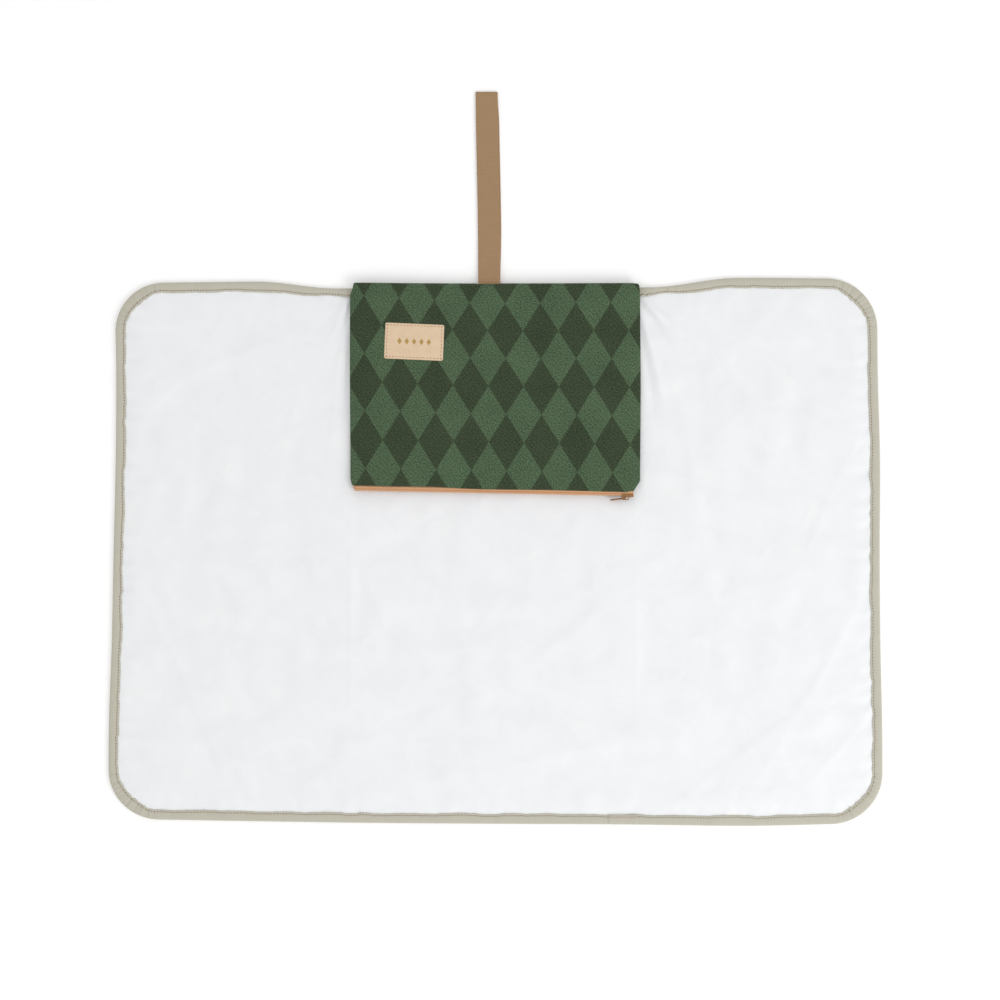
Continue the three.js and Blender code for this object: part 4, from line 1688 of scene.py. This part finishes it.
@dataclass
class Zip:
    """The zip: two tapes, two coil rows, stops, slider and pull."""

    mouth: Mouth = field(default_factory=Mouth)
    coil_pitch: float = 1.5
    # the front tape's section from the pouch's inside to the coil: y and z in the zip's axes
    tape: tuple[tuple[float, float], ...] = (
        (13.0, 1.55), (9.0, 1.6), (6.0, 1.65), (4.8, 1.7), (3.9, 1.9), (3.2, 2.3), (2.7, 2.6),
        (2.2, 2.6), (1.7, 2.15), (1.35, 1.75), (1.0, 2.0), (0.6, 2.4), (0.1, 2.5), (-0.35, 2.2), (-0.7, 1.7),
    )
    tape_thickness: float = 0.42
    ends: tuple[float, float] = (-124.9, 120.6)
    clip_nudge: float = 1.2  # how far the top clips sit along the chain from their nodes
    staple_tuck: float = 0.9  # how far the bottom staple sits towards the pouch
    pull_lean: float = 9.0  # degrees that the pull leans onto the tape

    def tape_piece(self, side: int) -> Array:
        """Lays out one tape.

        Args:
            side: 1 for the front tape, -1 for the back one.

        Returns:
            Its rings, in the row frame.
        """
        face = np.array(self.tape)
        inner = face - [0, self.tape_thickness]
        section = np.concatenate([face, inner[::-1]])
        x = stations_between(*self.ends, 3.0, (0.4, 0.9, 1.6, 2.6, 4.0))
        near_end = np.clip(1 - (x - self.ends[0]) / 5.0, 0, 1)[:, None]
        near_stop = np.clip(1 - (self.ends[1] - x) / 3.4, 0, 1)[:, None]
        low = section[None, :, 0] < 5.5
        lip = np.clip(3.4 - section[None, :, 0], 0, None)
        y = section[None, :, 0] + lip * (1 - np.sqrt(1 - near_end**2)) + low * 0.5 * near_stop
        sewn = smooth((section[None, :, 0] - 2.6) / 1.6)
        z = section[None, :, 1] * (1 - 0.3 * near_end**2 - 0.2 * near_stop)
        z = z * (1 - sewn * (0.7 * near_end + 0.6 * near_stop))
        z = z + 0.06 * drift(x, 0 * x, 40, 51)[:, None]
        across = x[:, None] + sewn * (2.2 * near_end - 4.8 * near_stop)
        rings = np.stack([across, y, side * z], -1)
        return self.mouth.place(rings if side > 0 else rings[:, ::-1])

    def build(self) -> None:
        """Makes every piece of the zip."""
        for side, tag in ((1, "front"), (-1, "back")):
            rings = self.tape_piece(side)
            x, y = rings[..., 0], rings[..., 1]
            tape = swept(f"zip_tape_cloth_{tag}", rings, ZIP_TAPE, np.stack([x, y], -1))
            hand_over(tape, Body.POUCH, [f"zip_tape_{tag}"])
            ends = np.array([(1.4 + self.ends[0], 0, side * 1.15), (-2.2 + self.ends[1], 0, side * 1.15)])
            line = self.mouth.place(np.linspace(ends[0], ends[1], 60))
            coil = COIL_LINKS.along(f"zip_coil_links_{tag}", [line], self.coil_pitch, 0.95, 0.26, COIL)
            hand_over(coil, Body.POUCH, [f"zip_coil_{tag}"])
        along = Vector(self.mouth.along)
        nudge = Matrix.Translation(along * (-self.clip_nudge * MM))
        tucked = Matrix.Translation(Vector((-along.y, along.x, 0)) * (self.staple_tuck * MM))
        pull_mid = (Vector(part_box("zip_pull")[0]) + Vector(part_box("zip_pull")[1])) / 2
        lean = Matrix.Translation(pull_mid) @ Matrix.Rotation(math.radians(self.pull_lean), 4, along)
        lean = lean @ Matrix.Translation(-pull_mid)
        castings = (
            ("zip_slider_casting", "zip_slider", Body.SLIDER, 0.13, Matrix()),
            ("zip_pull_casting", "zip_pull", Body.PULL, 0.12, lean),
            ("zip_bottom_staple", "zip_bottom_stop", Body.POUCH, 0.12, tucked),
            ("zip_top_clip_front", "zip_top_stop_front", Body.POUCH, 0.12, nudge),
            ("zip_top_clip_back", "zip_top_stop_back", Body.POUCH, 0.12, nudge),
        )
        for name, node, body, voxel, move in castings:
            hand_over(self.casting(name, node, voxel, move), body, [node])

    def casting(self, name: str, node: str, voxel: float, move: Matrix) -> bpy.types.Object:
        """A cast piece: the CAD node's form with its edges softened as by a mould and tumbling.

        Args:
            name: the piece's name.
            node: the CAD node whose form it takes.
            voxel: the smallest detail that is kept, in millimetres.
            move: how it lies from the node's own place.

        Returns:
            The linked object.
        """
        mesh = frame["nodes"][node].data.copy()
        mesh.transform(move)
        mesh.name = name
        mesh.materials.clear()
        mesh.materials.append(BRASS.material())
        rough = add_object(name + "_rough", mesh)
        weld = rough.modifiers.new("weld", "WELD")
        weld.merge_threshold = 1e-6
        skin = rough.modifiers.new("skin", "REMESH")
        skin.mode = "VOXEL"
        skin.voxel_size = voxel * MM
        skin.use_smooth_shade = True
        soften = rough.modifiers.new("soften", "SMOOTH")
        soften.factor = 0.5
        soften.iterations = 3
        return plain_mesh(rough, name)


# ---- Strap ------------------------------------------------------------------------------------


@dataclass
class Strap:
    """The webbing strap, folded double, sewn in between the mat and the pouch."""

    width: float = 19.3
    webbing: float = 1.0
    middle_x: float = float(corners("strap_loop")[:, 0].mean())
    far: float = float(corners("strap_loop")[1, 1])
    root: float = float(corners("strap_anchor")[0, 1]) + 2
    seat: float = float(corners("strap_anchor")[0, 2])

    def path(self) -> Array:
        """The webbing's middle line.

        Returns:
            Rows of y, z, how thick the webbing is, and how far it lies to the right.
        """
        near, far, seat = self.root, self.far, self.seat
        upper = [
            (near, seat + 0.72, 0.5), (near + 4, seat + 0.7, 0.5), (near + 7.5, seat + 0.35, 0.6),
            (near + 11, 3.3, 0.9), (near + 15, 2.5, 1.0), (near + 21, 1.95, 1.0), (near + 40, 1.75, 1.0),
            (near + 90, 1.72, 1.0), (far - 22, 1.75, 1.0), (far - 6, 1.8, 1.0), (far - 2.0, 1.72, 1.0),
        ]
        fold = [(far - 0.75, 1.5, 1.0), (far - 0.5, 1.15, 1.0), (far - 0.75, 0.8, 1.0)]
        lower = [
            (far - 2.0, 0.58, 1.0), (far - 6, 0.56, 1.0), (far - 22, 0.55, 1.0), (near + 90, 0.55, 1.0),
            (near + 40, 0.56, 1.0), (near + 21, 0.66, 1.0), (near + 15, 1.2, 1.0), (near + 11, 2.2, 0.8),
            (near + 7.5, 3.55, 0.55), (near + 4, seat + 0.16, 0.5), (near, seat + 0.15, 0.5),
        ]
        corners = np.array(upper + fold + lower)
        fine = []
        for a, b in zip(corners[:-1], corners[1:]):
            count = max(2, int(abs(b[0] - a[0]) / 2.5))
            fine.append(np.linspace(a, b, count, endpoint=False))
        route = np.concatenate(fine + [corners[-1:]])
        below = np.arange(len(route)) >= sum(len(run) for run in fine[: len(upper)])
        share = (route[:, 0] - self.root) / (self.far - self.root)
        shift = 0.9 - 1.9 * share + 0.4 * np.sin(share * 5)
        shift = shift + below * 1.1 * smooth(share * 3) * smooth((1 - share) * 6)
        return np.column_stack([route, shift])

    def build(self) -> None:
        """Makes the strap and its sewn end as one length of webbing."""
        route = self.path()
        across = np.array([-0.5, -0.485, -0.45, -0.3, -0.1, 0.1, 0.3, 0.45, 0.485, 0.5])
        edge = np.array([0.18, 0.42, 0.5, 0.5, 0.5, 0.5, 0.5, 0.5, 0.42, 0.18])
        offset = np.concatenate([across, across[::-1]]) * self.width
        lift = np.concatenate([edge, -edge[::-1]])
        along = headings(route[:, :2])
        step = distances(route[:, :2])
        x = self.middle_x + route[:, 3:4] + offset[None, :]
        ripple = 0.06 * drift(step[:, None], offset[None, :] * 0.3, 14, 61)
        height = lift[None, :] * route[:, 2:3] + ripple * smooth(step / 40)[:, None] * (route[:, 1:2] > 1.2)
        y = route[:, :1] - along[:, 1:2] * height
        z = np.maximum(route[:, 1:2] + along[:, :1] * height, 0.03)
        rings = np.stack([x, y, z], -1)
        cloth = np.stack(np.broadcast_arrays(step[:, None], offset[None, :]), -1)
        webbing = swept("webbing_strap", rings[:, ::-1], WEBBING, cloth[:, ::-1])
        start, end = (0.0, (self.root + 7) * MM, 0.0), (0.0, (self.root + 19) * MM, 0.0)
        swing = Fold(Body.CENTRE, Body.STRAP, start, end)
        hand_over(webbing, swing, ["strap_loop", "strap_anchor"])


# ---- Studio -----------------------------------------------------------------------------------


@dataclass
class Studio:
    """A white sweep of floor, an even white surround and one broad soft lamp."""

    view_width: float = 0.8786
    view_centre: tuple[float, float] = (0.0044, 0.046)
    camera_height: float = 2.6
    sensor: float = 36.0
    surround: float = 0.83
    lamp_power: float = 12.0

    def build(self) -> None:
        """Makes the floor, lights and camera."""
        scene = bpy.context.scene
        scene.view_settings.view_transform = "Standard"
        floor = make_mesh("floor", np.array([(-4000, -4000, 0), (4000, -4000, 0), (4000, 4000, 0),
                                             (-4000, 4000, 0)]), [(0, 1, 2, 3)],
                          Finish("white_paper_sweep", "#fbfbfb", 0.9))
        glow = floor.data.materials[0].node_tree.nodes["Principled BSDF"].inputs
        glow["Emission Color"].default_value = (1, 1, 1, 1)
        glow["Emission Strength"].default_value = 0.12
        world = bpy.data.worlds.new("surround")
        world.use_nodes = True
        world.node_tree.nodes["Background"].inputs["Strength"].default_value = self.surround
        world.node_tree.nodes["Background"].inputs["Color"].default_value = (1, 1, 1, 1)
        scene.world = world
        self.lamp("key_lamp", (1.35, -1.05, 1.3), 1.0, self.lamp_power)
        lens = bpy.data.cameras.new("camera")
        lens.sensor_width = self.sensor
        lens.lens = self.sensor * self.camera_height / self.view_width
        lens.clip_end = 50
        camera = add_object("camera", lens)
        camera.location = (*self.view_centre, self.camera_height)
        scene.camera = camera

    def lamp(self, name: str, place: tuple[float, float, float], size: float, power: float) -> None:
        """Hangs a square soft lamp that faces the pad.

        Args:
            name: the lamp's name.
            place: where it hangs, in metres.
            size: its side, in metres.
            power: its power, in watts.
        """
        light = bpy.data.lights.new(name, "AREA")
        light.size = size
        light.energy = power
        facing = (-Vector(place)).to_track_quat("-Z", "Y").to_matrix().to_4x4()
        add_object(name, light).matrix_world = Matrix.Translation(place) @ facing


def main() -> None:
    """Builds the pad round the frame."""
    logging.basicConfig(level=logging.INFO, format="%(message)s")
    Studio().build()
    Mat().build()
    Binding().build()
    Pouch().build()
    Label().build()
    Zip().build()
    Strap().build()


if __name__ == "__main__":
    main()
